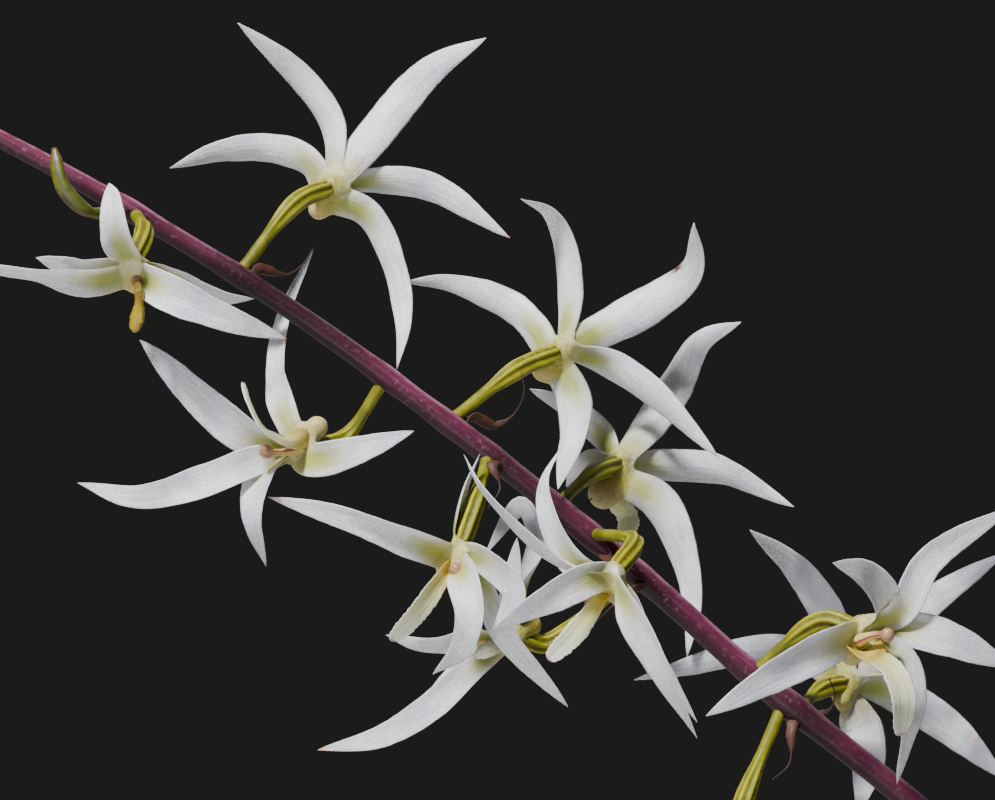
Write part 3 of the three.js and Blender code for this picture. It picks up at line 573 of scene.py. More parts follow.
class Paint:
    """The nodes of one material."""

    def __init__(self, name):
        self.material = bpy.data.materials.new(name)
        self.material.use_nodes = True
        self.tree = self.material.node_tree
        self.tree.nodes.clear()

    def node(self, kind, settings=None, inputs=None, output=0):
        """Makes a node, sets it up, fills its sockets, and gives one output."""
        made = self.tree.nodes.new("ShaderNode" + kind)
        for name, value in (settings or {}).items():
            if name == "stops":
                self.set_stops(made.color_ramp, value)
            else:
                setattr(made, name, value)
        for name, value in (inputs or {}).items():
            self.feed(made.inputs[name], value)
        return Value(self, made.outputs[output])

    def set_stops(self, ramp, stops):
        while len(ramp.elements) < len(stops):
            ramp.elements.new(1.0)
        for element, (place, colour) in zip(ramp.elements, stops):
            element.position = place
            element.color = (*colour, 1)

    def feed(self, socket, value):
        if isinstance(value, Value):
            self.tree.links.new(value.socket, socket)
        elif isinstance(value, tuple) and len(value) == 3 and socket.type == "RGBA":
            socket.default_value = (*value, 1)
        else:
            socket.default_value = value

    def mark(self, name):
        return self.node("Attribute", {"attribute_name": name}, output=2)

    def marks(self, *names):
        return [self.mark(name) for name in names]

    def place(self, stretch=(1, 1, 1)):
        """The point on the object in mm, stretched along its axes."""
        point = self.node("TexCoord", output=3)
        sizes = tuple(s / MM for s in stretch)
        return self.node("VectorMath", {"operation": "MULTIPLY"}, {0: point, 1: sizes})

    def noise(self, scale, detail=3.0, rough=0.55, at=None, twist=0.0):
        """Clouds from 0 to 1, with scale in clouds for each mm."""
        where = at or self.place()
        inputs = {"Vector": where, "Scale": scale, "Detail": detail, "Roughness": rough, "Distortion": twist}
        return self.node("TexNoise", inputs=inputs)

    def fibres(self, *places):
        """Clouds drawn out along a piece, at places worked out from its marks."""
        where = self.node("CombineXYZ", inputs=dict(enumerate(places)))
        return self.node("TexNoise", inputs={"Vector": where, "Scale": 1.0, "Detail": 4.0})

    def blend(self, factor, first, second):
        """A colour between two, by a factor from 0 to 1."""
        return self.node("Mix", {"data_type": "RGBA"}, {0: factor, 6: first, 7: second}, output=2)

    def ramp(self, factor, *stops):
        return self.node("ValToRGB", {"stops": stops}, {0: factor})

    def relief(self, height, distance, strength=1.0):
        """Raises the surface by a height from 0 to 1, over a distance in mm."""
        return self.node("Bump", inputs={"Height": height, "Distance": distance * MM, "Strength": strength})

    def finish(self, colour, roughness, relief=None, **constants):
        """Ends the material in one shader. The constants are sockets that are the same all over."""
        inputs = {"Base Color": colour, "Roughness": roughness}
        if relief is not None:
            inputs["Normal"] = relief
        inputs.update({name.replace("_", " "): value for name, value in constants.items()})
        shader = self.node("BsdfPrincipled", inputs=inputs)
        end = self.tree.nodes.new("ShaderNodeOutputMaterial")
        self.tree.links.new(shader.socket, end.inputs["Surface"])
        return self.material


def flesh(weight, radius, depth):
    """The sockets of a living tissue that light goes some way into, with the depth in metres."""
    return {"Subsurface_Weight": weight, "Subsurface_Radius": radius, "Subsurface_Scale": depth}


# Finishes of the flower spike

def tepal_finish(look):
    """White and faintly glistening, yellow-green near the heart and by the stalk, with faint long veins. Its
    bluish-grey clouds and streaks are painted shade, and its soft dark patches are painted shadow, strong
    where the bloom lies in the others' shade.
    """
    paint = Paint("tepal_white")
    along, across, tone, reach, halo, flush, shaded, burn = paint.marks(*Skin.MARKS)
    clouds = paint.noise(0.3, 3)
    patch = paint.noise(0.55, 3)
    grain = paint.noise(3.2, 2, 0.5)
    streaks = paint.fibres(along * 5.0, across * 3.2, tone * 10.0)
    veins = (across * 15.0).sine().size().between(0.0, 0.4)
    # Soft patches for the painted shadow that other blooms cast
    shadow_dapple = paint.noise(0.1, 2).between(0.4, 0.6)
    shade = paint.blend((1 - veins) * patch.between(0.3, 0.7) * 0.25, look.petal_colour[:], (0.6, 0.61, 0.72))
    # Painted shade: bluish-grey clouds and long bluish streaks
    shade = paint.blend(clouds.between(0.35, 0.75) * 0.5, shade, (0.47, 0.48, 0.63))
    shade = paint.blend(streaks.between(0.48, 0.65) * 0.4, shade, (0.42, 0.43, 0.56))
    shade = paint.blend(grain.between(0.38, 0.6) * 0.4, shade, (0.42, 0.42, 0.5))
    # Painted shadow: dark where the bloom lies in the others' shade, faint in soft patches on every bloom
    shade = paint.blend(shaded * (0.5 + shadow_dapple * 0.5) + shadow_dapple * 0.12, shade, (0.12, 0.12, 0.15))
    near = 1 - reach.between(0.05, 0.36)
    shade = paint.blend(near * patch.between(0.2, 0.6) * 0.85, shade, look.heart_colour[:])
    middle = 1 - across.size().between(0.2, 0.95)
    stripe = middle * reach.between(0.05, 0.14) * (1 - reach.between(0.22, 0.5))
    shade = paint.blend(stripe * tone.between(0.05, 0.4) * 0.9, shade, look.flush_colour[:])
    shade = paint.blend(flush * 0.85, shade, (0.44, 0.34, 0.05))
    spots = flush * paint.noise(1.6, 2, 0.6).between(0.55, 0.7)
    shade = paint.blend(spots * 0.5, shade, (0.24, 0.13, 0.03))
    speckles = halo * paint.noise(2.4, 3, 0.7).between(0.42, 0.62)
    shade = paint.blend(halo * 0.9, shade, (0.34, 0.32, 0.045))
    shade = paint.blend(speckles * 0.7, shade, (0.14, 0.1, 0.015))
    blotch = patch.between(0.6, 0.72) * along.between(0.35, 0.7) * (tone > 0.5)
    shade = paint.blend(blotch * 0.35, shade, (0.8, 0.45, 0.3))
    worn = along.between(0.95, 0.998) * (tone > 0.6)
    shade = paint.blend(worn * 0.75, shade, (0.6, 0.26, 0.1))
    scorch = burn * (patch * 0.4 - across).between(0.8, 1.0)
    shade = paint.blend(scorch, shade, (0.07, 0.022, 0.012))
    glints = grain.between(0.6, 0.75)
    roughness = 0.5 - glints * 0.2 + clouds * 0.08
    height = grain * 0.06 + veins * 0.09 + streaks * 0.85
    return paint.finish(
        shade, roughness, paint.relief(height, 0.3, 0.5),
        **flesh(0.3, (1.0, 0.95, 0.85), 0.001),
        Specular_IOR_Level=0.42, Sheen_Weight=0.12, Sheen_Roughness=0.4,
    )


def lip_finish():
    """Amber at its foot, then pale yellow-green to white, with raised keels and a purple end, and painted
    shadow where the bloom lies in the others' shade.
    """
    paint = Paint("lip_cream")
    along, across, tone = paint.marks("along", "across", "tone")
    shaded = paint.mark("shade")
    clouds = paint.noise(0.7, 3)
    grain = paint.noise(2.8, 3, 0.65)
    shade = paint.ramp(
        along, (0.0, (0.4, 0.22, 0.02)), (0.2, (0.5, 0.37, 0.03)), (0.4, (0.54, 0.52, 0.19)),
        (0.7, (0.6, 0.62, 0.42)), (1.0, (0.7, 0.7, 0.66)),
    )
    keels = (1 - (across.size() - 0.35).size().between(0.0, 0.16)) * along.between(0.12, 0.35)
    shade = paint.blend(keels * 0.15, shade, (0.46, 0.42, 0.14))
    edge = across.size().between(0.72, 1.0) * along.between(0.25, 0.5)
    shade = paint.blend(edge * 0.7, shade, (0.8, 0.82, 0.82))
    shade = paint.blend(grain.between(0.6, 0.7) * 0.4, shade, (0.85, 0.86, 0.84))
    end = along.between(0.96, 0.99)
    shade = paint.blend(end * 0.8, shade, (0.36, 0.08, 0.3))
    amber = paint.ramp(
        along, (0.0, (0.24, 0.09, 0.03)), (0.3, (0.13, 0.07, 0.015)), (0.55, (0.17, 0.11, 0.01)),
        (0.75, (0.38, 0.28, 0.006)), (1.0, (0.32, 0.22, 0.006)),
    )
    amber = paint.blend(across.size().between(0.5, 0.95) * 0.7, amber, (0.13, 0.09, 0.008))
    # Painted shadow where the bloom lies in the others' shade
    shade = paint.blend(shaded * 0.5, shade, (0.3, 0.31, 0.26))
    shade = paint.blend(tone, shade, amber)
    return paint.finish(
        shade, 0.42 - tone * 0.25 + clouds * 0.14, paint.relief(keels * 0.5 + grain * 0.5, 0.08, 0.7),
        **flesh(0.3, (1.0, 0.75, 0.3), 0.001),
    )


def column_finish():
    """Cream column with a crimson line down each side, and a tan cap."""
    paint = Paint("column_pink")
    along, across, tone = paint.marks("along", "across", "tone")
    clouds = paint.noise(1.0, 2)
    shade = paint.ramp(along, (0.0, (0.55, 0.47, 0.14)), (0.5, (0.58, 0.42, 0.2)), (1.0, (0.5, 0.3, 0.18)))
    line = (1 - ((across - 0.25).size() - 0.12).size().between(0.02, 0.05)) * (1 - along.between(0.8, 0.9))
    shade = paint.blend(line * 0.9, shade, (0.26, 0.012, 0.04))
    cap = paint.blend(clouds.between(0.3, 0.7), (0.27, 0.14, 0.07), (0.36, 0.22, 0.12))
    shade = paint.blend(tone, shade, cap)
    return paint.finish(
        shade, 0.36 + clouds * 0.1, paint.relief(clouds, 0.05, 0.5),
        **flesh(0.35, (1.0, 0.5, 0.25), 0.001),
    )


def stalk_finish(look):
    """Yellow-green, with dark dashes in the grooves of the ovary, painted highlight along its ribs and
    painted shade in its grooves.
    """
    paint = Paint("stalk_green")
    along, across = paint.marks("along", "across")
    clouds = paint.noise(0.45, 3)
    fine = paint.noise(2.2, 3, 0.6)
    ribbed = along.between(0.32, 0.5)
    wave = (across * (2 * math.pi * STALK_RIBS)).cosine()
    shade = paint.blend(clouds.between(0.3, 0.7), look.stalk_colour[:], look.stalk_dark_colour[:])
    # Painted highlight: lighter and yellower along the ovary's ribs
    shade = paint.blend(ribbed * wave.between(-0.3, 0.9) * 0.6, shade, (0.36, 0.33, 0.014))
    groove = wave.between(-0.3, -0.95) * ribbed
    dashes = groove * along.between(0.55, 0.75) * fine.between(0.42, 0.56)
    # Painted shade in the grooves between the ribs; the dark dashes in them are the stalk's own marks
    shade = paint.blend(groove * 0.4, shade, (0.12, 0.115, 0.006))
    shade = paint.blend(dashes * 0.8, shade, (0.06, 0.035, 0.004))
    pale = wave.between(0.3, 0.9) * along.between(0.5, 0.7) * fine.between(0.56, 0.64)
    shade = paint.blend(pale * 0.5, shade, (0.6, 0.54, 0.12))
    base = 1 - along.between(0.02, 0.12)
    shade = paint.blend(base * 0.5, shade, (0.2, 0.09, 0.03))
    return paint.finish(
        shade, 0.45 + fine * 0.15, paint.relief(fine, 0.05, 0.6), Specular_IOR_Level=0.3,
        **flesh(0.12, (0.6, 1.0, 0.2), 0.0008),
    )


def stem_finish(look):
    """Purple stem with long magenta streaks, browner in places, with pale scurfy flecks. Painted shade
    darkens it in stretches, where the blooms shade it and along its underside, and painted light makes pink
    patches along its top.
    """
    paint = Paint("stem_purple")
    along, across, shaded = paint.marks("along", "across", "shade")
    streaks = paint.fibres(along * 70.0, across * 22.0, 0.0)
    clouds = paint.noise(0.06, 3)
    patch = paint.noise(0.5, 4, 0.65)
    scurf = paint.noise(1.7, 5, 0.75)
    # Painted shade: darker stretches at random, in the stem's shade colour
    shade = paint.blend(clouds.between(0.45, 0.65) * 0.5, look.stem_colour[:], look.stem_shade_colour[:])
    shade = paint.blend(streaks.between(0.48, 0.72) * 0.5, shade, (0.2, 0.055, 0.115))
    shade = paint.blend(patch.between(0.5, 0.72) * 0.6, shade, (0.045, 0.015, 0.02))
    # Painted shadow where the blooms shade the stem
    shade = paint.blend(shaded * 0.9, shade, look.stem_shade_colour[:])
    green = 1 - along.between(0.1, 0.42)
    shade = paint.blend(green * 0.7, shade, (0.1, 0.1, 0.022))
    # Painted shade on the stem's underside, and painted light in pink patches along its top
    under = (across * (2 * math.pi)).cosine()
    shade = paint.blend(under.between(-0.3, 0.9) * 0.75, shade, look.stem_shade_colour[:])
    lit = under.between(-0.3, -0.9) * patch.between(0.3, 0.6) * (1 - shaded)
    shade = paint.blend(lit * 0.75, shade, (0.42, 0.16, 0.28))
    flecks = scurf.between(0.56, 0.68)
    # The flecks show less where the stem is painted in shadow
    shade = paint.blend(flecks * (0.45 - shaded * 0.35), shade, (0.32, 0.15, 0.23))
    height = flecks * 0.5 + streaks * 0.25 + patch * 0.25
    return paint.finish(
        shade, 0.36 + flecks * 0.3 + patch * 0.1, paint.relief(height, 0.05, 0.7),
        Specular_IOR_Level=0.2,
    )


def bract_finish():
    """Dry red-brown scale, veined along its length and paler in places."""
    paint = Paint("bract_brown")
    along, across = paint.marks("along", "across")
    clouds = paint.noise(0.7, 3)
    shade = paint.ramp(
        along, (0.0, (0.05, 0.018, 0.01)), (0.25, (0.08, 0.022, 0.011)), (0.55, (0.05, 0.016, 0.008)),
        (1.0, (0.02, 0.009, 0.006)),
    )
    veins = (across * 22.0).sine().size().between(0.0, 0.5)
    shade = paint.blend((1 - veins) * 0.5, shade, (0.025, 0.01, 0.007))
    shade = paint.blend(clouds.between(0.55, 0.75) * 0.4, shade, (0.14, 0.06, 0.035))
    return paint.finish(shade, 0.5 + clouds * 0.2, paint.relief(veins * 0.6 + clouds * 0.4, 0.06, 0.8))


def bud_finish(look):
    """Green bud with long seams, browning at its point."""
    paint = Paint("bud_green")
    along, across = paint.marks("along", "across")
    clouds = paint.noise(0.6, 3)
    shade = paint.blend(clouds.between(0.3, 0.7), look.stalk_dark_colour[:], (0.045, 0.055, 0.004))
    seams = (across * (2 * math.pi * BUD_LOBES)).cosine().between(-0.6, -0.95) * along.between(0.4, 0.6)
    shade = paint.blend(seams * 0.7, shade, (0.04, 0.05, 0.005))
    shade = paint.blend(along.between(0.82, 1.0) * 0.8, shade, (0.1, 0.04, 0.012))
    shade = paint.blend((1 - along.between(0.0, 0.12)) * 0.6, shade, (0.2, 0.12, 0.02))
    return paint.finish(
        shade, 0.4 + clouds * 0.1, paint.relief(clouds, 0.08, 0.6),
        **flesh(0.12, (0.6, 1.0, 0.2), 0.0008),
    )


# Finishes of the plant and its pot

def leaf_finish(look):
    """Leathery green with a paler midrib, fine long veins and a few worn spots."""
    paint = Paint("leaf_green")
    along, across, tone = paint.marks("along", "across", "tone")
    clouds = paint.noise(0.03, 4)
    spots = paint.noise(0.35, 4, 0.7)
    shade = paint.blend(clouds.between(0.3, 0.7), look.leaf_colour[:], look.leaf_light_colour[:])
    shade = paint.blend(tone * 0.3, shade, (0.13, 0.2, 0.03))
    veins = (across * 46.0).sine().size().between(0.0, 0.5)
    shade = paint.blend((1 - veins) * 0.3, shade, (0.02, 0.07, 0.012))
    rib = 1 - across.size().between(0.0, 0.05)
    shade = paint.blend(rib * 0.6, shade, (0.18, 0.27, 0.07))
    shade = paint.blend((1 - along.between(0.02, 0.2)) * 0.7, shade, (0.26, 0.33, 0.08))
    shade = paint.blend(spots.between(0.66, 0.74) * 0.5, shade, (0.15, 0.14, 0.03))
    tip = along.between(0.965, 0.995)
    shade = paint.blend(tip * 0.85, shade, (0.24, 0.12, 0.04))
    return paint.finish(
        shade, 0.34 + spots * 0.16 + clouds * 0.06, paint.relief(veins * 0.7 + spots * 0.3, 0.18, 0.6),
        Specular_IOR_Level=0.5, **flesh(0.08, (0.4, 1.0, 0.15), 0.0015),
    )


def bulb_finish(look):
    """Green bulb, yellower on its ribs, with brown scars."""
    paint = Paint("bulb_green")
    along, across, tone = paint.marks("along", "across", "tone")
    clouds = paint.noise(0.08, 4)
    spots = paint.noise(0.5, 4, 0.7)
    shade = paint.blend(clouds.between(0.3, 0.7), look.bulb_colour[:], (0.16, 0.22, 0.035))
    shade = paint.blend(tone * 0.5, shade, (0.33, 0.29, 0.08))
    ribs = (across * (2 * math.pi * BULB_RIBS)).sine()
    shade = paint.blend(ribs.between(0.1, 1.0) * 0.4, shade, (0.4, 0.42, 0.1))
    shade = paint.blend(spots.between(0.62, 0.72) * 0.55, shade, (0.15, 0.1, 0.03))
    shade = paint.blend(along.between(0.93, 1.0) * 0.8, shade, (0.22, 0.15, 0.05))
    return paint.finish(
        shade, 0.38 + spots * 0.2, paint.relief(spots, 0.15, 0.6),
        **flesh(0.08, (0.5, 1.0, 0.2), 0.002),
    )


def sheath_finish():
    """Dry papery sheath, straw to brown, with fibres along it."""
    paint = Paint("sheath_straw")
    along, across = paint.marks("along", "across")
    fibres = paint.fibres(across * 90.0, along * 3.0, 0.0)
    clouds = paint.noise(0.15, 4)
    shade = paint.blend(clouds.between(0.3, 0.7), (0.42, 0.3, 0.15), (0.26, 0.16, 0.07))
    shade = paint.blend(fibres.between(0.45, 0.7) * 0.6, shade, (0.6, 0.5, 0.32))
    shade = paint.blend(fibres.between(0.42, 0.3) * 0.6, shade, (0.14, 0.08, 0.035))
    shade = paint.blend(along.between(0.8, 1.0) * 0.5, shade, (0.2, 0.12, 0.06))
    return paint.finish(shade, 0.62 + fibres * 0.2, paint.relief(fibres, 0.3, 0.9))


def rhizome_finish():
    """Woody creeping stem, ringed with old scars."""
    paint = Paint("rhizome_brown")
    along = paint.mark("along")
    clouds = paint.noise(0.25, 4)
    rings = (along * 260.0).sine().between(-0.2, 0.9)
    shade = paint.blend(clouds.between(0.3, 0.7), (0.2, 0.13, 0.06), (0.33, 0.27, 0.12))
    shade = paint.blend(rings * 0.45, shade, (0.1, 0.06, 0.03))
    return paint.finish(shade, 0.7, paint.relief(rings * 0.5 + clouds * 0.5, 0.4, 0.8))


def root_finish():
    """Grey-white dead skin of an air root, with a green growing tip."""
    paint = Paint("root_grey")
    along = paint.mark("along")
    clouds = paint.noise(0.5, 4)
    shade = paint.blend(clouds.between(0.35, 0.65), (0.52, 0.5, 0.43), (0.33, 0.3, 0.22))
    shade = paint.blend(along.between(0.9, 0.97) * 0.8, shade, (0.3, 0.36, 0.1))
    return paint.finish(shade, 0.75, paint.relief(clouds, 0.25, 0.7))


def bark_finish():
    """Fir bark: red-brown layers with grey weathered faces and dark cracks."""
    paint = Paint("bark_brown")
    tone = paint.mark("tone")
    layers = paint.noise(0.16, 5, 0.65, at=paint.place((1, 1, 4)), twist=0.6)
    fine = paint.noise(0.9, 5, 0.7)
    shade = paint.ramp(
        layers, (0.25, (0.035, 0.016, 0.009)), (0.45, (0.11, 0.045, 0.02)), (0.6, (0.2, 0.095, 0.045)),
        (0.8, (0.3, 0.19, 0.11)),
    )
    shade = paint.blend(tone * 0.6, shade, (0.075, 0.04, 0.028))
    shade = paint.blend((tone > 0.7) * fine.between(0.4, 0.7) * 0.6, shade, (0.26, 0.22, 0.17))
    shade = paint.blend(fine.between(0.42, 0.3) * 0.7, shade, (0.02, 0.01, 0.006))
    return paint.finish(shade, 0.82, paint.relief(layers * 0.5 + fine * 0.5, 0.8, 0.9))


def clay_finish(look):
    """Fired clay: warm orange-brown, sandy, with pale lime bloom low down and round the rim."""
    paint = Paint("clay_terracotta")
    clouds = paint.noise(0.02, 5, 0.6)
    sand = paint.noise(1.1, 4, 0.7)
    turning = paint.noise(0.6, 3, 0.5, at=paint.place((0.05, 0.05, 1)))
    shade = paint.blend(clouds.between(0.3, 0.7), look.clay_colour[:], look.clay_dark_colour[:])
    shade = paint.blend(sand.between(0.6, 0.72) * 0.35, shade, (0.62, 0.3, 0.16))
    shade = paint.blend(sand.between(0.38, 0.28) * 0.5, shade, (0.24, 0.09, 0.04))
    level = paint.node("SeparateXYZ", inputs={0: paint.place()}, output=2)
    lime = paint.noise(0.05, 6, 0.68, twist=0.8)
    on_rim = lime.between(0.54, 0.7) * level.between(88, 96) * 0.8
    patches = lime.between(0.5, 0.68) * (1 - level.between(20, 100)) + on_rim
    shade = paint.blend(patches * 0.42, shade, (0.6, 0.5, 0.42))
    return paint.finish(
        shade, 0.78 + sand * 0.12, paint.relief(sand * 0.45 + turning * 0.55, 0.28, 0.7),
        Specular_IOR_Level=0.25,
    )


def floor_finish(look):
    """Pale matt studio floor, very faintly mottled."""
    paint = Paint("floor_pale")
    clouds = paint.noise(0.004, 3)
    shade = paint.blend(clouds, look.floor_colour[:], tuple(0.96 * c for c in look.floor_colour))
    return paint.finish(shade, 0.7 + clouds * 0.1)


# Shapes of the flower spike

def petal_outline(t, root, widest):
    """Half width along a tepal as a share of its widest: root at the heart, 1 at widest, then to a point."""
    swell = root + (1 - root) * np.sin(np.pi / 2 * np.clip(t / widest, 0, 1))
    taper = np.power(1 - np.power(np.clip((t - widest) / (1 - widest), 0, 1), 1.75), 0.85)
    return swell * taper


def seeded_dice(seed):
    """Numbers from 0 to 1 in the same order as the solid model draws them."""
    state = seed

    def draw():
        nonlocal state
        state = (state + 0x6D2B79F5) & 0xFFFFFFFF
        t = ((state ^ (state >> 15)) * (1 | state)) & 0xFFFFFFFF
        t = ((t + ((t ^ (t >> 7)) * (61 | t) & 0xFFFFFFFF)) & 0xFFFFFFFF) ^ t
        return ((t ^ (t >> 14)) & 0xFFFFFFFF) / 2**32

    return draw


USUAL = {"share": 0.5, "bulge": 1.0, "shade": 0.0}


def spread_bloom(data, seed):
    """A bloom whose tepals spread evenly, with the lip and the chin on the side given by its turn."""
    draw = seeded_dice(seed)
    centre = seen(*data["heart"])
    axis = unit(data["faces"])
    side = unit(np.cross((0, 0, 1), axis))
    up = np.cross(axis, side)

    def point(angle, out, ahead):
        """The place out from the axis at an angle in degrees from the side, and ahead along it."""
        a = math.radians(angle + data["turn"])
        return centre + side * (out * math.cos(a)) + up * (out * math.sin(a)) + axis * ahead

    tepals = []
    for k, angle in enumerate((0, 66, 144, 216, 294)):
        long = 18 + 2.4 * draw()
        a = angle + 10 * (draw() - 0.5)
        curl = 1 + 4 * draw()
        tip = point(a + 8 * (draw() - 0.5), long, 3 - curl)
        wide = 4 if k in (1, 3, 4) else 4.5
        way = [point(a, 4.5, 2.5), point(a + 3, long * 0.55, 3.6), tip]
        tepals.append(tepal(wide, 12 * (draw() - 0.5), *way))
    return {
        **USUAL, "shade": 0.15, "column": [],
        "centre": centre, "axis": axis, "nods": axis, "tepals": tepals, "chin": point(180, 2.9, 0.6),
        "lip": tepal(2.8, 0, point(180, 3.2, 4), point(180, 5, 7.5), point(180, 8.6, 8.5)),
    }


def placed(one):
    """A tepal or lip with its way in mm."""
    return {**one, "way": [seen(*p) for p in one["way"]]}


def bloom_shape(data, seed):
    """A bloom's places in mm and its directions, with what its data leaves out filled in."""
    if "tepals" not in data:
        return spread_bloom(data, seed)
    return {
        **{name: data.get(name, value) for name, value in USUAL.items()},
        "centre": seen(*data["heart"]),
        "axis": unit(data["faces"]),
        "nods": unit(data.get("nods", data["faces"])),
        "tepals": [placed(one) for one in data["tepals"]],
        "lip": placed(data["lip"]),
        "chin": seen(*data["chin"]),
        "column": [seen(*p) for p in data.get("column", ())],
    }


TEPAL, CUP, LIP, COLUMN = range(4)  # their places among the finishes of a bloom
SECOND = 1  # the place of the other finish where a piece has two
TEPAL_COUNT = 5
PETALS, LATERALS = (1, 4), (2, 3)
TEPAL_STEPS = 56
WAY_SCALE = 20.0  # mm from the heart that counts as 1 in the reach mark
HALO_SIZE = 2.3  # mm from the stalk's end that its yellow ring reaches
UNBURNT = 9.0  # a place far beyond the tip


def tepal_line(shape, k, seed):
    """The places, frame and half width along a tepal. A lateral sepal grows edgewise from the chin's side."""
    one = shape["tepals"][k]
    lateral = k in LATERALS
    root = mix(shape["centre"], shape["chin"], shape["share"] if lateral else 0.0)
    places = smooth_way([root, *one["way"]], TEPAL_STEPS)
    t = np.linspace(0, 1, len(places))
    roll = one["roll"] + wobble(seed + 0.8, t, 3.1, 22)
    side, up = carried_frame(places, shape["axis"], roll)
    if lateral:
        edge = shape["chin"] - shape["centre"]
        turn = math.atan2(edge @ up[0], edge @ side[0])
        turn -= math.pi * round(turn / math.pi)
        side, up = carried_frame(places, shape["axis"], roll + math.degrees(turn) * (1 - smooth(t / 0.4)))
    root_wide = 0.86 if lateral else 0.46 if k in PETALS else 0.62
    out = petal_outline(t, root_wide, 0.3 if lateral else 0.42)
    uneven = 1 + wobble(seed, t, 7, 0.07) + wobble(seed + 0.5, t, 26, 0.025)
    return places, side, up, np.maximum(one["wide"] / 2 * out * uneven, 0.06)


def tepal_fold(t, seed):
    """How deep a tepal's channel is along it, as a share of half its width."""
    depth = mix(0.1, 0.34, smooth(t / 0.25)) * mix(1, 0.35, smooth((t - 0.3) / 0.5))
    return depth + wobble(seed + 0.2, t, 4, 0.12)


def tepal_tone(shape, k, seed):
    """From plain to strongly marked, by chance where the bloom's data doesn't say."""
    return shape["tepals"][k].get("tone", 0.5 + wobble(seed + 0.3, [0.37], 1, 1.0)[0])


def reach_along(places, centre):
    return np.linalg.norm(places - centre, axis=1) / WAY_SCALE


def halo_round(places, back):
    """How strongly the yellow ring round the stalk's end tints each place."""
    return np.exp(-np.power(np.linalg.norm(places - back, axis=1) / HALO_SIZE, 4))


def tepal_thickness(look, t, half):
    return look.petal_thickness / MM * mix(1.5, 0.75, smooth(t / 0.3)) * np.clip(half / 0.6, 0.25, 1)


def add_tepal(skin, shape, k, look, seed):
    """One tepal: a thin channelled blade that is thicker where it meets the cup."""
    places, side, up, half = tepal_line(shape, k, seed)
    t = np.linspace(0, 1, len(places))
    rings, across = blade_rings(places, side, up, half, tepal_thickness(look, t, half), tepal_fold(t, seed))
    one = shape["tepals"][k]
    scorched = np.exp(-np.square((t - one.get("burn", UNBURNT)) / 0.05))
    skin.loft(
        rings, TEPAL, across=across, tone=tepal_tone(shape, k, seed), shade=one.get("shade", shape["shade"]),
        reach=reach_along(places, shape["centre"]), halo=halo_round(places, shape["back"]), burn=scorched,
    )


CUP_REACH = 5.0  # mm of each tepal that the cup flows into
CUP_BLEND = 1.1  # mm over which the parts of the cup flow together
CUP_CELL = 0.2
CUP_ROOM = 2.6  # mm round the cup's parts that its surface is looked for in


def tepal_foot(line, look, seed):
    """The first few mm of a tepal's blade, as stations that the cup is measured from."""
    places, side, up, half = line
    t = np.linspace(0, 1, len(places))
    run = np.concatenate([[0], np.cumsum(np.linalg.norm(np.diff(places, axis=0), axis=1))])
    values = (places, side, up, half, tepal_fold(t, seed), tepal_thickness(look, t, half))
    return [value[run < CUP_REACH].astype(np.float32) for value in values]


def outside_blade(points, foot):
    """How far points lie outside the foot of a tepal's blade, in mm."""
    places, side, up, half, fold, thick = foot
    i = (np.sum(places * places, 1) - 2 * points @ places.T).argmin(1)
    off = points - places[i]
    over, rise = np.sum(off * side[i], 1), np.sum(off * up[i], 1)
    ahead = np.sum(off * np.cross(side, up)[i], 1)
    share = np.clip(over / half[i], -1, 1)
    rise -= half[i] * fold[i] * (share**2 - 0.35)
    past, beyond = np.maximum(np.abs(over) - half[i], 0), np.maximum(np.abs(ahead) - 0.3, 0)
    return np.sqrt(past**2 + beyond**2 + rise**2) - thick[i] / 2 * np.sqrt(1.02 - share**2)


def outside_sac(points, shape):
    """How far points lie outside the knob at the heart and the sac that runs from it to the chin, in mm."""
    start, run = shape["centre"], shape["chin"] - shape["centre"]
    share = np.clip((points - start) @ run / (run @ run), 0, 1)
    radius = mix(1.25, 1.35 * shape["bulge"], share)
    return np.linalg.norm(points - start - share[:, None] * run, axis=1) - radius


def cup_field(shape, feet):
    """How far points lie outside the cup, where the sac and the tepals' feet flow together, in mm."""
    def field(points):
        total = outside_sac(points, shape)
        blend = np.maximum(CUP_BLEND * (1 - smooth((total - 0.6) / 2.4)), 0.01)
        for foot in feet:
            other = outside_blade(points, foot)
            near = np.maximum(blend - np.abs(total - other), 0)
            total = np.minimum(total, other) - near * near / (4 * blend)
        return total + 0.05
    return field


def add_cup(skin, shape, look, seed):
    """The cup where the tepals and the chin flow together, with the ovary's end at its back."""
    seeds = [TEPAL_COUNT * seed + k for k in range(TEPAL_COUNT)]
    lines = [tepal_line(shape, k, own) for k, own in enumerate(seeds)]
    feet = [tepal_foot(line, look, own) for line, own in zip(lines, seeds)]
    around = np.vstack([shape["centre"], shape["chin"], *(foot[0] for foot in feet)])
    low, high = around.min(0) - CUP_ROOM, around.max(0) + CUP_ROOM
    points, faces = field_surface(cup_field(shape, feet), low, high, CUP_CELL)
    across, tone = cup_marks(points, lines, [tepal_tone(shape, k, own) for k, own in enumerate(seeds)])
    from_chin = np.linalg.norm(points - shape["chin"], axis=1) / shape["bulge"]
    skin.add(
        points, faces, CUP, across=across, tone=tone, shade=shape["shade"],
        reach=reach_along(points, shape["centre"]), halo=halo_round(points, shape["back"]),
        flush=1 - smooth((from_chin - 1) / 2.2),
    )


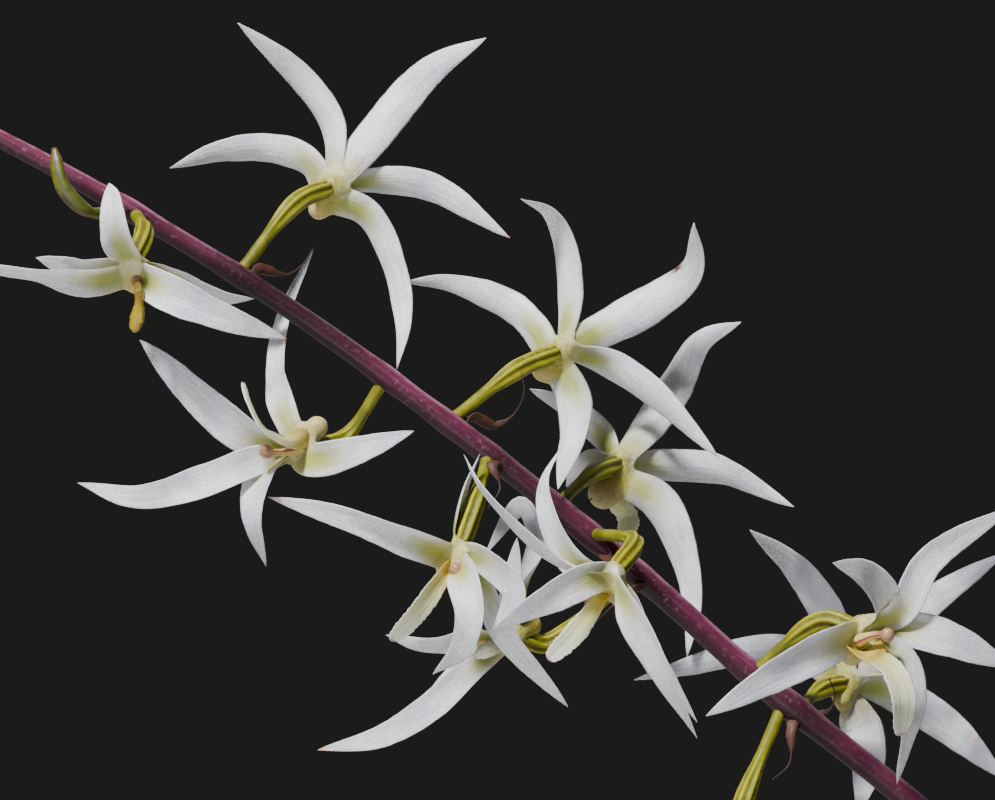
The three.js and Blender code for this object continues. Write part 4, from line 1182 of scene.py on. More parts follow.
def cup_marks(points, lines, tones):
    """How far across the nearest tepals the cup's points lie, and those tepals' tone, so that they match."""
    total, across, tone = (np.zeros(len(points)) for _ in range(3))
    for (places, side, _, half), own in zip(lines, tones):
        gaps = np.linalg.norm(points[:, None] - places, axis=2)
        i = gaps.argmin(1)
        weight = np.exp(-gaps.min(1) / 0.35) + 1e-9
        off = np.abs(np.sum((points - places[i]) * side[i], 1)) / half[i]
        total += weight
        across += weight * np.minimum(off, 1)
        tone += weight * own
    return across / total, tone / total


def lip_outline(t, flare):
    """Half width along the lip as a share of its middle: a strap with a blunt end."""
    swell = mix(flare, 1.0, smooth(t / 0.55))
    return swell * np.power(1 - np.power(np.clip((t - 0.6) / 0.4, 0, 1), 4), 0.5)


def add_lip(skin, shape, seed):
    """The strap-like lip: hinged at the chin, arched forward, with fine teeth along its front half."""
    start = mix(shape["chin"], shape["centre"], 0.3) + shape["nods"] * 0.7
    one = shape["lip"]
    places = smooth_way([start, *one["way"]], 72)
    t = np.linspace(0, 1, len(places))
    side, up = carried_frame(places, shape["axis"], one["roll"])
    rough = smooth((t - 0.35) / 0.15)
    teeth = 1 + rough * (0.07 * np.abs(np.sin(t * 64)) + wobble(seed, t, 26, 0.14)) + wobble(seed, t, 4, 0.08)
    half = np.maximum(one["wide"] / 2 * lip_outline(t, one.get("flare", 0.62)) * teeth, 0.1)
    amber = one.get("amber", 0.0)
    half = half * mix(1, mix(0.55, 1, smooth((t - 0.55) / 0.25)), amber)
    thick = mix(0.8, mix(0.4, 1.3, amber), smooth(t / 0.3)) * np.clip(half / 0.6, 0.3, 1)
    rings, across = blade_rings(places, side, up, half, thick, mix(0.75, 0.3, smooth(t / 0.6)))
    skin.loft(rings, LIP, across=across, tone=amber, shade=shape["shade"])


def add_column(skin, shape):
    """The short column, broad at its foot, with its round cap nodding towards the lip."""
    down = unit(shape["chin"] - shape["centre"])
    foot = mix(shape["centre"], shape["chin"], 0.4)
    foot, tip = shape["column"] or (foot, foot + shape["nods"] * COLUMN_LONG)
    axis = unit(tip - foot)
    places = smooth_way([foot, mix(foot, tip, 0.5) - down * 0.3, tip], 20)
    t = np.linspace(0, 1, len(places))
    rings = tube_rings(places, mix(0.75, 0.42, smooth(t / 0.6)), 24, facing=down)
    skin.tube(rings, COLUMN)
    spin = np.array(Vector(axis).to_track_quat("Z", "Y").to_matrix())
    cap = (unit_ball() * np.array((0.86, 0.86, 0.9))) @ spin.T + tip + down * 0.15 + axis * 0.1
    skin.loft(cap, COLUMN, tone=1.0)


def bloom_back(data, depth):
    """The point that lies depth mm from the heart towards the stalk."""
    turn, heart = seen(*data["bend"]), seen(*data["heart"])
    return heart + unit(turn - heart) * depth


def stalk_way(data):
    """From the stem's axis to the back of the bloom."""
    root, _ = on_stem(data["foot"])
    return [root, seen(*data["bend"]), bloom_back(data, 1.1)]


def add_stalk(skin, data, seed):
    """A stalk that swells into the ribbed and slightly twisted ovary."""
    places = smooth_way(stalk_way(data), 60)
    t = np.linspace(0, 1, len(places))
    sides = 48
    turn = np.arange(sides) / sides
    radius = mix(0.72, 1.08, smooth((t - 0.35) / 0.3))
    radius = radius + 0.16 * (1 - smooth(t / 0.14)) - 0.12 * smooth((t - 0.9) / 0.1)
    ribs = 0.13 * smooth((t - 0.3) / 0.25)
    wave = np.cos(2 * np.pi * STALK_RIBS * turn[None, :] - STALK_TWIST * t[:, None])
    uneven = 1 + wobble(seed, t, 9, 0.05)[:, None]
    rings = tube_rings(places, (radius[:, None] * (1 + ribs[:, None] * wave)) * uneven, sides)
    across = turn[None, :] - (STALK_TWIST / (2 * np.pi * STALK_RIBS)) * t[:, None]
    skin.loft(rings, across=across)


def bract_outline(t):
    """Half width along a bract as a share of its widest: a boat, then a thin tail."""
    boat = np.power(np.sin(np.pi * np.clip(0.14 + 0.86 * t / 0.58, 0, 1)), 0.8)
    return np.maximum(boat, 0.2 * np.sqrt(1 - t))


def add_bract(skin, data, scale, seed):
    """A dry boat-shaped scale under a stalk, with a curled point."""
    root, down = on_stem(data["foot"])
    out = seen(*data["heart"]) - root
    out = unit(out - down * (out @ down))
    if "bract" in data:
        points = [seen(*p) for p in data["bract"]]
    else:
        points = [root + down * a * scale + out * b * scale for a, b in ((4, 2.8), (6, 4.6), (7.8, 7.2))]
    places = smooth_way([root + down * 2.3 * scale, *points], 36)
    t = np.linspace(0, 1, len(places))
    half = np.maximum(0.85 * scale * bract_outline(t) * (1 + wobble(seed, t, 16, 0.22)), 0.06)
    side, up = carried_frame(places, out - down, data.get("bract_roll", 0) + wobble(seed + 0.4, t, 2.5, 40))
    rings, across = blade_rings(places, side, up, half, 0.16, mix(1.1, 0.6, t) + wobble(seed, t, 11, 0.3))
    skin.loft(rings, SECOND, across=across)


def stem_radius(t):
    """The stem's radius in mm, from its foot to its tip."""
    lower = mix(2.3, 1.5, t / 0.5)
    upper = mix(1.5, 0.7, np.power(np.clip((t - 0.5) / 0.5, 0, 1), 1.6))
    return np.where(t < 0.5, lower, upper)


def add_stem(skin):
    """The purple stem, a little swollen where each stalk leaves it, with faint ridges."""
    steps, sides = 640, 28
    places = smooth_way([seen(*p) for p in SPIKE], steps)
    t = np.linspace(0, 1, steps + 1)
    radius = stem_radius(t)
    for data in [*BLOOMS, *BUDS]:
        root, _ = on_stem(data["foot"])
        gap = np.linalg.norm(places - root, axis=1)
        radius = radius + 0.16 * np.exp(-np.square(gap / 2.4))
    radius = radius * (1 + wobble(3, t, 40, 0.03))
    shaded = [(seen(x, 0, 0)[0], dark) for x, dark in STEM_SHADE]
    shade = np.interp(places[:, 0], *zip(*shaded))
    turn = np.arange(sides) / sides
    ridges = 1 + 0.02 * np.cos(2 * np.pi * 7 * turn)[None, :] * np.ones((steps + 1, 1))
    end = np.where(t > 0.997, 0.55, 1.0)
    rings = tube_rings(places, (radius * end)[:, None] * ridges, sides)
    skin.tube(rings, shade=shade)


def add_bud(skin, data, seed):
    """A bud: a short stalk, then a horn of closed tepals that curves to a point."""
    root, _ = on_stem(data["foot"])
    way = [data[name] for name in ("bend", "by", "heart") if name in data]
    places = smooth_way([root, *(seen(*p) for p in way)], 48)
    t = np.linspace(0, 1, len(places))
    body = np.clip((t - 0.4) / 0.6, 0, 0.985)
    radius = mix(0.55 + 0.2 * data["size"], 1.9 * data["size"], np.sin(np.pi * np.power(body, 0.6)))
    radius = radius * np.where(t > 0.9, mix(1.0, 0.45, (t - 0.9) / 0.1), 1.0)
    sides = 30
    turn = np.arange(sides) / sides
    lobes = 1 + 0.07 * smooth((t - 0.35) / 0.2)[:, None] * np.cos(2 * np.pi * BUD_LOBES * turn)[None, :]
    uneven = 1 + wobble(seed, t, 8, 0.06)[:, None]
    skin.tube(tube_rings(places, radius[:, None] * lobes * uneven, sides))


# Shapes of the plant and its pot

def bulb_foot(data):
    return np.array((data["at"][0], data["at"][1], RHIZOME["level"]), float)


def bulb_profile(share, wide):
    """A bulb's radius at a share of its height, as a share of its widest."""
    shares = [0, 0.07, 0.24, 0.44, 0.5, 0.76, 1]
    swells = [0.62, 0.88, 1, 0.96, 0.87, 0.6, APEX / wide]
    return np.interp(share, shares, swells)


def bulb_surface(data, share, turn, grown=0.0):
    """The point of a bulb's skin at a share of its height and a turn from 0 to 1."""
    base = COLLAR_TOP - 1.0
    tall = BARK_LEVEL + data["height"] - base
    rib = 1 + 0.045 * np.cos(2 * np.pi * BULB_RIBS * turn) * smooth(share / 0.15)
    r = data["wide"] * soft_profile(share, data["wide"]) * rib + grown
    return np.stack([
        data["at"][0] + r * np.cos(2 * np.pi * turn),
        data["at"][1] + r * np.sin(2 * np.pi * turn),
        base + tall * share + 0 * turn,
    ], -1)


def soft_profile(share, wide):
    """The bulb's profile with its corners eased."""
    near = [bulb_profile(share + d, wide) for d in (-0.05, -0.025, 0, 0.025, 0.05)]
    return sum(near) / len(near)


def add_bulb(skin, data, seed):
    """A ribbed bulb, a little dented along its height."""
    rows, sides = 60, 90
    share = np.linspace(0, 1, rows)[:, None] * np.ones((1, sides))
    turn = np.ones((rows, 1)) * (np.arange(sides) / sides)[None, :]
    dents = np.array([noise.noise(Vector((seed * 5, 6 * s, 0.0))) for s in share[:, 0]]) * 0.35
    rings = bulb_surface(data, share, turn, dents[:, None])
    skin.tube(rings, tone=smooth(0.5 - seed * 0.12))


def add_sheath(skin, data, height, start, sweep, seed, grown):
    """A torn papery sheath that wraps part of the way round a bulb, a little outside its skin."""
    def torn_at(u):
        return noise.noise(Vector((seed * 3.7, 9 * u, 0))) + 0.6 * noise.noise(Vector((seed, 40 * u, 2)))

    rows, cols = 26, 72
    turn = start + sweep * np.linspace(0, 1, cols)
    torn = np.array([torn_at(u) for u in turn])
    edge = height * (1 + 0.2 * torn) * (1 - 0.35 * np.abs(np.linspace(-1, 1, cols)) ** 3)
    share = np.linspace(0.0, 1, rows)[:, None] * edge[None, :]
    flare = 0.5 * np.linspace(0, 1, rows)[:, None] ** 6 * (1 + torn[None, :])
    puckers = 0.22 * np.sin(2 * np.pi * 23 * turn + seed)[None, :]
    turns = np.broadcast_to(turn[None, :], share.shape)
    outer = bulb_surface(data, share, turns, grown + 0.25 + flare + puckers)
    inner = bulb_surface(data, share, turns, grown + flare + puckers)
    rings = np.concatenate([outer, inner[:, ::-1]], 1)
    skin.loft(rings, SECOND, across=np.concatenate([turns, turns[:, ::-1]], 1))


def leaf_way(bulb, leaf):
    """The line of a strap leaf, from the top of its bulb up, out and over."""
    heading, reach, rise, droop = leaf
    a = math.radians(heading)
    top = np.array((bulb["at"][0], bulb["at"][1], BARK_LEVEL + bulb["height"]), float)
    stand = 3.1
    steps = [
        (stand, 0.2), (stand + 2, 0.17 * rise), (0.16 * reach, 0.52 * rise), (0.44 * reach, 0.93 * rise),
        (0.76 * reach, rise), (reach, rise - droop),
    ]
    return [top + np.array((math.cos(a) * out, math.sin(a) * out, up)) for out, up in steps]


def add_leaf(skin, bulb, leaf, seed):
    """A leathery strap leaf, folded at its foot and keeled along the midrib."""
    places = smooth_way(leaf_way(bulb, leaf), 120)
    t = np.linspace(0, 1, len(places))
    side, up = carried_frame(places, (0, 0, 1))
    opening = mix(0.13, 1, smooth((t - 0.06) / 0.39))
    closing = np.power(np.clip(1 - np.power(np.clip((t - 0.45) / 0.55, 0, 1), 2.3), 0, 1), 0.8)
    half = np.maximum(LEAF_WIDE / 2 * np.where(t < 0.45, opening, closing), 0.35)
    span = np.linspace(-1, 1, 21)
    thick = mix(1.1, 0.42, smooth(t / 0.2)) * np.clip(half / 4, 0.3, 1)
    fold = mix(0.85, 0.22, smooth(t / 0.35))
    sag = -(half * fold)[:, None] * (1 - np.abs(span) ** 1.25)[None, :]
    waves = 0.055 * half[:, None] * np.sin(13 * t + seed)[:, None] * span[None, :] ** 3
    ripple = 0.02 * half[:, None] * np.sin(41 * t + 2.0 * seed)[:, None] * np.abs(span[None, :]) ** 4
    groove = -0.35 * np.exp(-np.square(span / 0.05))[None, :] * smooth(t / 0.2)[:, None]
    middle = sag + waves + ripple + groove
    body = thick[:, None] * np.sqrt(np.clip(1 - span**2, 0.0, 1))[None, :]
    uneven = 1 + wobble(seed, t, 12, 0.025)
    flat = places[:, None] + side[:, None] * (half * uneven)[:, None, None] * span[None, :, None]
    top, under = (flat + up[:, None] * level[..., None] for level in (middle + body, middle - body))
    rings = np.concatenate([top, under[:, ::-1][:, 1:-1]], 1)
    across = np.concatenate([span, span[::-1][1:-1]])
    skin.loft(rings, across=across, tone=0.5 + 0.5 * math.sin(seed * 2.3))


def rhizome_line():
    """From behind the oldest bulb, past each bulb's foot, to the growing end."""
    line = [bulb_foot(data) for data in BULBS]
    return [line[0] + (-9, -2, -3), *line, line[-1] + (15, -3, 5)]


def add_rhizome(skin):
    """The ringed creeping stem, with a collar under each bulb."""
    places = smooth_way(rhizome_line(), 200)
    t = np.linspace(0, 1, len(places))
    ring = 0.35 * np.abs(np.sin(52 * np.pi * t)) ** 0.6
    radius = (RHIZOME["radius"] - 0.2 + ring) * mix(1, 0.3, smooth((t - 0.9) / 0.1))
    skin.tube(tube_rings(places, radius * mix(0.5, 1, smooth(t / 0.05)), 32))
    for data in BULBS:
        add_collar(skin, data)


def add_collar(skin, data):
    """The short thick neck between the rhizome and a bulb."""
    share = np.linspace(0, 1, 9)
    radius = data["wide"] * mix(0.45, 0.6, share) * (1 + 0.04 * np.sin(share * 20))
    rings = turned_rings(radius[:, None], COLLAR_TOP - 8 * (1 - share), 36, data["at"])
    skin.loft(rings, along=share * 0.1)


def add_root(skin, index, heading, reach, seed):
    """An air root that leaves the rhizome under a bulb and goes down into the bark."""
    start = bulb_foot(BULBS[index])

    def ahead(share, rise):
        a = math.radians(heading) + 0.5 * share
        return start + np.array((math.cos(a) * reach * share, math.sin(a) * reach * share, rise))

    places = smooth_way([ahead(0, 0), ahead(0.45, 2), ahead(0.8, 1.5), ahead(1.05, -7)], 60)
    t = np.linspace(0, 1, len(places))
    places = places + np.stack([wobble(seed + k, t, 5, 1.1) for k in range(3)], 1) * smooth(t / 0.2)[:, None]
    skin.tube(tube_rings(places, 1.25 * (1 + wobble(seed, t, 14, 0.12)), 16), SECOND)


def pot_profile():
    """The pot's outline from the middle of its underside, out, up and down again inside."""
    p = POT
    band = p["height"] - p["rim_depth"]
    return [
        (0, 0), (p["foot"] - 2, 0), (p["foot"], 2), (p["shoulder"], band), (p["rim"] - 2.5, band),
        (p["rim"] - 0.8, band + 2), (p["rim"], p["height"] - 2.5), (p["rim"] - 1.5, p["height"]),
        (p["rim"] - p["wall"] + 1, p["height"]), (p["rim"] - p["wall"], p["height"] - 2),
        (p["shoulder"] - p["wall"], band - 4), (p["foot"] - p["wall"] + 2, p["floor"]), (0, p["floor"]),
    ]


def eased_profile(corners, radius=1.1, cuts=4):
    """A profile with its corners rounded, and long straights cut into short lengths."""
    corners = [np.array(c, float) for c in corners]
    line = [corners[0]]
    for before, corner, after in zip(corners, corners[1:], corners[2:]):
        near = min(radius, 0.4 * np.linalg.norm(corner - before), 0.4 * np.linalg.norm(after - corner))
        start, end = corner + unit(before - corner) * near, corner + unit(after - corner) * near
        for k in range(cuts + 1):
            w = k / cuts
            line.append((1 - w) ** 2 * start + 2 * w * (1 - w) * corner + w * w * end)
    line.append(corners[-1])
    cut = [line[0]]
    for a, b in zip(line, line[1:]):
        pieces = max(1, int(np.linalg.norm(b - a) / 4))
        cut += [a + (b - a) * (k + 1) / pieces for k in range(pieces)]
    return np.array(cut)


def add_pot(skin):
    """The thrown pot, very slightly out of round."""
    profile = eased_profile(pot_profile())
    profile[0, 0] = profile[-1, 0] = 0.01
    sides = 160
    turn = 2 * np.pi * np.arange(sides) / sides
    uneven = 1 + 0.0018 * np.sin(3 * turn + 1) + 0.0012 * np.sin(5 * turn)
    outwards = smooth(profile[:, 0] / 40)[:, None]
    throwing = 0.1 * np.sin(profile[:, 1] * 1.1)[:, None] * outwards
    radius = profile[:, :1] * (1 + (uneven - 1)[None, :] * outwards) + throwing
    skin.tube(turned_rings(radius, profile[:, 1], sides))


def drill_holes(pot):
    """Cuts the drainage holes through the pot's floor."""
    levels = np.linspace(-1, POT["floor"] + 1, 8)
    for k in range(DRAIN["count"]):
        a = 2 * math.pi * k / DRAIN["count"] + 0.5
        drill = Skin()
        middle = (DRAIN["out"] * math.cos(a), DRAIN["out"] * math.sin(a))
        drill.loft(turned_rings(DRAIN["radius"], levels, 40, middle))
        plug = drill.piece("drill", [])
        cut = pot.modifiers.new("drain", "BOOLEAN")
        cut.object, cut.operation, cut.solver = plug, "DIFFERENCE", "EXACT"
        apply_modifiers(pot)
        bpy.data.objects.remove(plug)


def apply_modifiers(made):
    """Turns what a piece's modifiers give into its own mesh."""
    graph = bpy.context.evaluated_depsgraph_get()
    graph.update()
    mesh = bpy.data.meshes.new_from_object(made.evaluated_get(graph))
    made.modifiers.clear()
    made.data = mesh


def chip_points(draw, long, wide, deep):
    """A rough block of bark: a subdivided box pushed about by noise, in thin flaky layers."""
    shape = bmesh.new()
    bmesh.ops.create_cube(shape, size=1)
    bmesh.ops.subdivide_edges(shape, edges=shape.edges, cuts=4, use_grid_fill=True)
    corner = {key: 0.72 + 0.5 * draw.random() for key in range(8)}
    seed = Vector((draw.random() * 50, draw.random() * 50, draw.random() * 50))
    for v in shape.verts:
        key = (v.co.x > 0) + 2 * (v.co.y > 0) + 4 * (v.co.z > 0)
        pull = mix(1, corner[key], min(1, 2 * abs(v.co.x)) * min(1, 2 * abs(v.co.y)))
        slant = mix(0.8, 1.1, corner[key] - 0.5)
        point = Vector((v.co.x * pull * long, v.co.y * pull * wide, v.co.z * deep * slant))
        push = noise.noise_vector(point * 0.16 + seed) * 1.9 + noise.noise_vector(point * 0.55 + seed) * 0.55
        layer = Vector((point.x * 0.2, point.y * 0.2, point.z * 1.4))
        flake = 0.5 * math.copysign(1, noise.noise(layer + seed))
        v.co = point + push + Vector((0, 0, 0.35 * flake if abs(v.co.z) > 0.4 else 0))
        if abs(v.co.z) < 0.4 * deep:
            v.co.xy += v.co.xy.normalized() * flake * 0.5
    points = [v.co.copy() for v in shape.verts]
    faces = [tuple(v.index for v in f.verts) for f in shape.faces]
    shape.free()
    return points, faces


GOLDEN_TURN = 2.39996  # radians from one chip to the next, so that they never line up


def add_chips(skin, count, seed):
    """Chips spread evenly over the pot's mouth, and never above the rhizome's back by much."""
    draw = random.Random(seed)
    noise.seed_set(seed)
    for k in range(count):
        long, wide, deep = (size * (0.6 + 0.65 * draw.random()) for size in CHIP_SIZE)
        points, faces = chip_points(draw, long, wide, deep)
        out = (ROOM - 4 - 0.32 * long) * math.sqrt((k + 0.5) / count)
        round_about = k * GOLDEN_TURN + 0.6 * draw.random()
        level = BARK_LEVEL + 1.0 - 3.2 * draw.random() - 0.2 * deep
        turn = Matrix.Rotation(2 * math.pi * draw.random(), 4, "Z")
        turn = turn @ Matrix.Rotation(draw.uniform(-0.5, 0.5), 4, "X")
        turn = turn @ Matrix.Rotation(draw.uniform(-0.45, 0.45), 4, "Y")
        place = Matrix.Translation((out * math.cos(round_about), out * math.sin(round_about), level)) @ turn
        moved = np.array([place @ p for p in points])
        reach = np.linalg.norm(moved[:, :2], axis=1)
        moved[:, :2] *= np.minimum(1, (ROOM + 1.2) / np.maximum(reach, 1e-6))[:, None]
        skin.add(moved, faces, tone=draw.random())


def add_bark_plug(skin):
    """The dark bed of bark that fills the pot below the chips."""
    p = POT
    band = p["height"] - p["rim_depth"] - 4
    profile = eased_profile([
        (0, p["floor"] + 0.4), (p["foot"] - p["wall"] + 1.5, p["floor"] + 0.4), (ROOM - 0.4, band),
        (ROOM + 2.2, BARK_LEVEL - 4), (0, BARK_LEVEL - 4),
    ])
    profile[0, 0] = profile[-1, 0] = 0.01
    skin.loft(turned_rings(profile[:, :1], profile[:, 1], 72), tone=0.9)


# The sizes and colours that a user would change

def colour(name, words, default):
    return bpy.props.FloatVectorProperty(
        name=name, description=words, default=default, size=3, min=0, max=1, subtype="COLOR",
    )


class OrchidFlowerLook(bpy.types.PropertyGroup):
    """Sizes and colours of the flower spike."""

    petal_thickness: bpy.props.FloatProperty(
        name="Petal thickness", description="Thickness of a tepal away from its root",
        default=0.34 * MM, min=0.1 * MM, max=1 * MM, precision=5, unit="LENGTH",
    )
    petal_colour: colour("Petal", "Colour of the tepals", (0.89, 0.87, 0.88))
    heart_colour: colour("Heart", "Tint of the tepals where they meet the heart", (0.52, 0.48, 0.11))
    flush_colour: colour("Flush", "Yellow-green flush along a tepal's foot", (0.32, 0.34, 0.035))
    stalk_colour: colour("Stalk", "Colour of the stalks", (0.2, 0.195, 0.006))
    stalk_dark_colour: colour("Stalk, dark", "Darker areas of the stalks and buds", (0.1, 0.1, 0.004))
    stem_colour: colour("Stem", "Colour of the flower stem", (0.13, 0.02, 0.055))
    # The colour of the stem's painted shade: its darker stretches, the blooms' shadow on it and its underside
    stem_shade_colour: colour("Stem, dark", "Darker stretches of the flower stem", (0.013, 0.005, 0.006))


class OrchidPlantLook(bpy.types.PropertyGroup):
    """Colours of the leaves, bulbs and pot."""

    leaf_colour: colour("Leaf", "Colour of the leaves", (0.045, 0.12, 0.02))
    leaf_light_colour: colour("Leaf, light", "Lighter areas of the leaves", (0.085, 0.19, 0.03))
    bulb_colour: colour("Bulb", "Colour of the bulbs", (0.24, 0.3, 0.06))
    clay_colour: colour("Clay", "Colour of the pot", (0.47, 0.16, 0.065))
    clay_dark_colour: colour("Clay, dark", "Darker areas of the pot", (0.36, 0.11, 0.045))
    chip_count: bpy.props.IntProperty(
        name="Bark chips", description="How many chips of bark lie in the pot", default=150, min=20, max=400,
    )


class OrchidStageLook(bpy.types.PropertyGroup):
    """The floor, the light and the camera."""

    floor_colour: colour("Floor", "Colour of the floor", (0.72, 0.72, 0.71))
    backdrop_colour: colour("Backdrop", "Colour behind the plant", (0.016, 0.016, 0.0158))
    floor_radius: bpy.props.FloatProperty(
        name="Floor", description="Radius of the round floor", default=3.0, min=0.5, max=10, unit="LENGTH",
    )
    light_power: bpy.props.FloatProperty(
        name="Key light", description="Power of the key light in watts", default=37.0, min=0, max=500,
    )


# One operator for each group of pieces

class ORCHID_OT_pot(bpy.types.Operator):
    """Make the clay pot with its drainage holes"""

    bl_idname = "orchid.pot"
    bl_label = "Pot"

    def execute(self, context):
        skin = Skin()
        add_pot(skin)
        pot = skin.piece("clay_pot", [clay_finish(context.scene.orchid_plant)])
        drill_holes(pot)
        settle(pot, "clay", "pot")
        return {"FINISHED"}


class ORCHID_OT_bark(bpy.types.Operator):
    """Make the chips of bark that the orchid grows in"""

    bl_idname = "orchid.bark"
    bl_label = "Bark"

    def execute(self, context):
        skin = Skin()
        add_bark_plug(skin)
        add_chips(skin, context.scene.orchid_plant.chip_count, seed=5)
        settle(skin.piece("bark_chips", [bark_finish()]), "bark", "potting_bark")
        return {"FINISHED"}


class ORCHID_OT_rhizome(bpy.types.Operator):
    """Make the creeping rhizome and its roots"""

    bl_idname = "orchid.rhizome"
    bl_label = "Rhizome"

    def execute(self, context):
        skin = Skin()
        add_rhizome(skin)
        for k, root in enumerate(ROOTS):
            add_root(skin, *root, seed=k)
        settle(skin.piece("creeping_rhizome", [rhizome_finish(), root_finish()]), "rhizome", "rhizome")
        return {"FINISHED"}


class ORCHID_OT_bulbs(bpy.types.Operator):
    """Make the ribbed bulbs and their dry sheaths"""

    bl_idname = "orchid.bulbs"
    bl_label = "Bulbs"

    def execute(self, context):
        finishes = [bulb_finish(context.scene.orchid_plant), sheath_finish()]
        for i, data in enumerate(BULBS):
            skin = Skin()
            add_bulb(skin, data, seed=i)
            add_sheath(skin, data, 0.42, 0.1 + 0.23 * i, 0.8, seed=i + 1, grown=0.35)
            add_sheath(skin, data, 0.24, 0.55 + 0.31 * i, 0.7, seed=i + 9, grown=0.85)
            settle(skin.piece(f"ribbed_bulb_{i + 1}", finishes), "bulb", f"pseudobulb_{i + 1}")
        return {"FINISHED"}


class ORCHID_OT_leaves(bpy.types.Operator):
    """Make the strap leaves"""

    bl_idname = "orchid.leaves"
    bl_label = "Leaves"

    def execute(self, context):
        finish = leaf_finish(context.scene.orchid_plant)
        for i, bulb in enumerate(BULBS):
            for k, leaf in enumerate(bulb["leaves"]):
                skin = Skin()
                add_leaf(skin, bulb, leaf, seed=2 * i + k)
                settle(skin.piece(f"strap_leaf_{i + 1}{'ab'[k]}", [finish]), "leaf", f"leaf_{i + 1}{'ab'[k]}")
        return {"FINISHED"}


class ORCHID_OT_stem(bpy.types.Operator):
    """Make the flower stem with a dry bract under each stalk"""

    bl_idname = "orchid.stem"
    bl_label = "Flower stem"

    def execute(self, context):
        skin = Skin()
        add_stem(skin)
        for k, data in enumerate(BLOOMS):
            add_bract(skin, data, 1.0, seed=k)
        for k, data in enumerate(BUDS):
            add_bract(skin, data, 0.7, seed=20 + k)
        finishes = [stem_finish(context.scene.orchid_flower), bract_finish()]
        settle(skin.piece("purple_stem", finishes), "stem", "flower_stem")
        return {"FINISHED"}


class ORCHID_OT_stalks(bpy.types.Operator):
    """Make the stalks and their ribbed ovaries"""

    bl_idname = "orchid.stalks"
    bl_label = "Stalks"

    def execute(self, context):
        finish = stalk_finish(context.scene.orchid_flower)
        for i, data in enumerate(BLOOMS):
            skin = Skin()
            add_stalk(skin, data, seed=i)
            settle(skin.piece(f"ribbed_stalk_{i + 1:02d}", [finish]), "stalk", f"stalk_{i + 1:02d}")
        return {"FINISHED"}


class ORCHID_OT_blooms(bpy.types.Operator):
    """Make the white blooms"""

    bl_idname = "orchid.blooms"
    bl_label = "Blooms"

    def execute(self, context):
        look = context.scene.orchid_flower
        tepal_white = tepal_finish(look)
        finishes = [tepal_white, tepal_white, lip_finish(), column_finish()]
        for i, data in enumerate(BLOOMS):
            shape = {**bloom_shape(data, i), "back": bloom_back(data, 1.5)}
            skin = Skin()
            for k in range(TEPAL_COUNT):
                add_tepal(skin, shape, k, look, seed=TEPAL_COUNT * i + k)
            add_cup(skin, shape, look, seed=i)
            add_lip(skin, shape, seed=i)
            add_column(skin, shape)
            settle(skin.piece(f"white_bloom_{i + 1:02d}", finishes), "bloom", f"bloom_{i + 1:02d}")
        return {"FINISHED"}


class ORCHID_OT_buds(bpy.types.Operator):
    """Make the buds towards the tip of the stem"""

    bl_idname = "orchid.buds"
    bl_label = "Buds"

    def execute(self, context):
        finish = bud_finish(context.scene.orchid_flower)
        for i, data in enumerate(BUDS):
            skin = Skin()
            add_bud(skin, data, seed=i)
            settle(skin.piece(f"green_bud_{i + 1}", [finish]), "bud", f"bud_{i + 1}")
        return {"FINISHED"}


class ORCHID_OT_stage(bpy.types.Operator):
    """Make the floor, the studio lights and the camera"""

    bl_idname = "orchid.stage"
    bl_label = "Stage"

    def execute(self, context):
        look = context.scene.orchid_stage
        add_floor(look)
        add_backdrop(look)
        add_lights(look)
        add_camera()
        return {"FINISHED"}


def add_floor(look):
    sides = 96
    turns = [2 * math.pi * k / sides for k in range(sides)]
    edge = [(look.floor_radius * math.cos(a), look.floor_radius * math.sin(a), 0) for a in turns]
    mesh = bpy.data.meshes.new("studio_floor")
    mesh.from_pydata(edge, [], [tuple(range(sides))])
    mesh.materials.append(floor_finish(look))
    floor = bpy.data.objects.new("studio_floor", mesh)
    bpy.context.scene.collection.objects.link(floor)


def add_backdrop(look):
    world = bpy.data.worlds.new("studio")
    world.use_nodes = True
    world.node_tree.nodes["Background"].inputs["Color"].default_value = (*look.backdrop_colour, 1)
    bpy.context.scene.world = world


def add_light(name, place, target, size, power, tint=(1, 1, 1)):
    lamp = bpy.data.lights.new(name, "AREA")
    lamp.shape, lamp.size, lamp.energy, lamp.color = "DISK", size, power, tint
    made = bpy.data.objects.new(name, lamp)
    made.location = place
    made.rotation_mode = "QUATERNION"
    made.rotation_quaternion = (Vector(target) - Vector(place)).to_track_quat("-Z", "Y")
    bpy.context.scene.collection.objects.link(made)


def add_lights(look):
    """A high key and a weak low fill, both from the left in front, and a faint rim light from behind."""
    spike = Vector(WINDOW_MIDDLE) * MM
    plant = (0.0, 0.0, 0.25)
    power = look.light_power
    add_light("key", spike + Vector((-0.35, -0.62, 0.95)), spike, 0.2, power)
    add_light("fill", spike + Vector((-0.4, -1.1, -0.22)), spike, 0.36, power * 0.14, (0.95, 0.95, 1))
    add_light("rim", spike + Vector((0.4, 0.9, 0.6)), plant, 0.5, power * 0.04, (0.93, 0.96, 1))


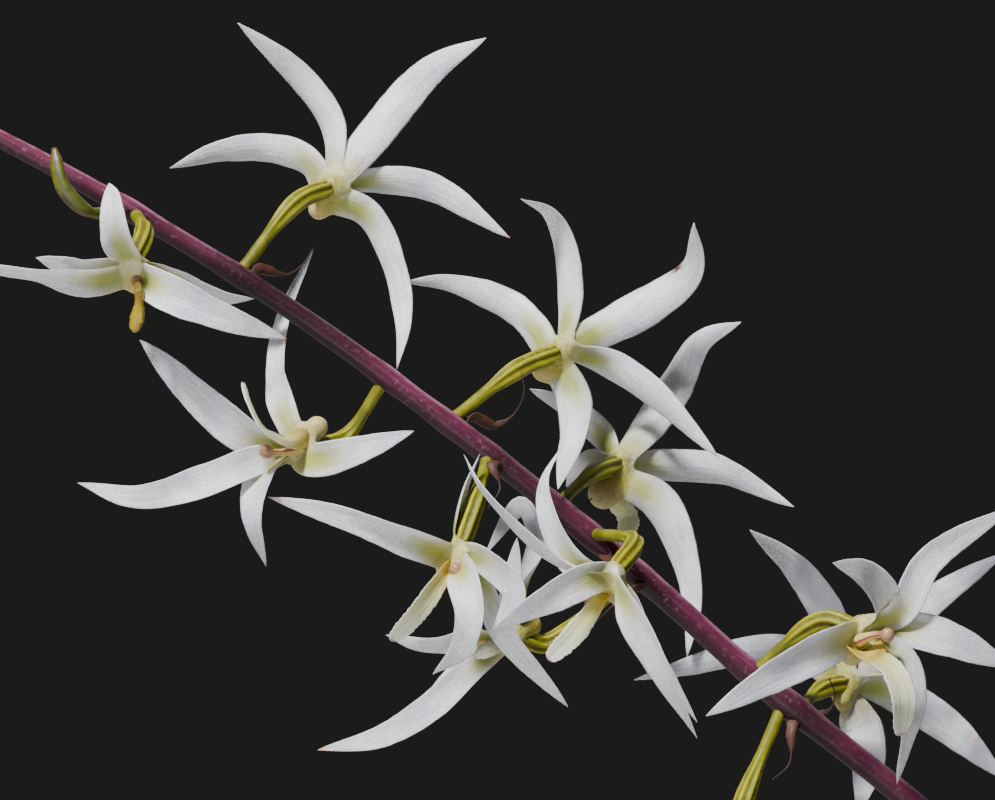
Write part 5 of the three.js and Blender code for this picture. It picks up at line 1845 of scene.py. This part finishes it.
def add_camera():
    """The camera looks level along +Y at the middle of the window."""
    data = bpy.data.cameras.new("camera")
    data.lens = data.sensor_width * AWAY / (WINDOW_SIZE[0] * UNIT)
    data.clip_start, data.clip_end = 0.01, 20
    camera = bpy.data.objects.new("camera", data)
    camera.location = Vector(WINDOW_MIDDLE) * MM - Vector((0, AWAY * MM, 0))
    camera.rotation_euler = (math.pi / 2, 0, 0)
    bpy.context.scene.collection.objects.link(camera)
    bpy.context.scene.camera = camera


class ORCHID_PT_panel(bpy.types.Panel):
    """Lists the sizes, colours and pieces of the orchid"""

    bl_label = "Potted Orchid"
    bl_idname = "ORCHID_PT_panel"
    bl_space_type = "VIEW_3D"
    bl_region_type = "UI"
    bl_category = "Orchid"

    def draw(self, context):
        for group in (context.scene.orchid_flower, context.scene.orchid_plant, context.scene.orchid_stage):
            box = self.layout.box()
            for name in group.__annotations__:
                box.prop(group, name)
        for operator in OPERATORS:
            self.layout.operator(operator.bl_idname)


OPERATORS = (
    ORCHID_OT_stage, ORCHID_OT_pot, ORCHID_OT_bark, ORCHID_OT_rhizome, ORCHID_OT_bulbs, ORCHID_OT_leaves,
    ORCHID_OT_stem, ORCHID_OT_stalks, ORCHID_OT_blooms, ORCHID_OT_buds,
)
LOOKS = {"orchid_flower": OrchidFlowerLook, "orchid_plant": OrchidPlantLook, "orchid_stage": OrchidStageLook}


def register():
    for group in LOOKS.values():
        bpy.utils.register_class(group)
    for name, group in LOOKS.items():
        setattr(bpy.types.Scene, name, bpy.props.PointerProperty(type=group))
    for operator in OPERATORS:
        bpy.utils.register_class(operator)
    bpy.utils.register_class(ORCHID_PT_panel)


def unregister():
    bpy.utils.unregister_class(ORCHID_PT_panel)
    for operator in reversed(OPERATORS):
        bpy.utils.unregister_class(operator)
    for name in LOOKS:
        delattr(bpy.types.Scene, name)
    for group in reversed(LOOKS.values()):
        bpy.utils.unregister_class(group)


def main():
    register()
    bpy.ops.orchid.stage()
    bpy.ops.orchid.pot()
    bpy.ops.orchid.bark()
    bpy.ops.orchid.rhizome()
    bpy.ops.orchid.bulbs()
    bpy.ops.orchid.leaves()
    bpy.ops.orchid.stem()
    bpy.ops.orchid.stalks()
    bpy.ops.orchid.blooms()
    bpy.ops.orchid.buds()


if __name__ == "__main__":
    main()
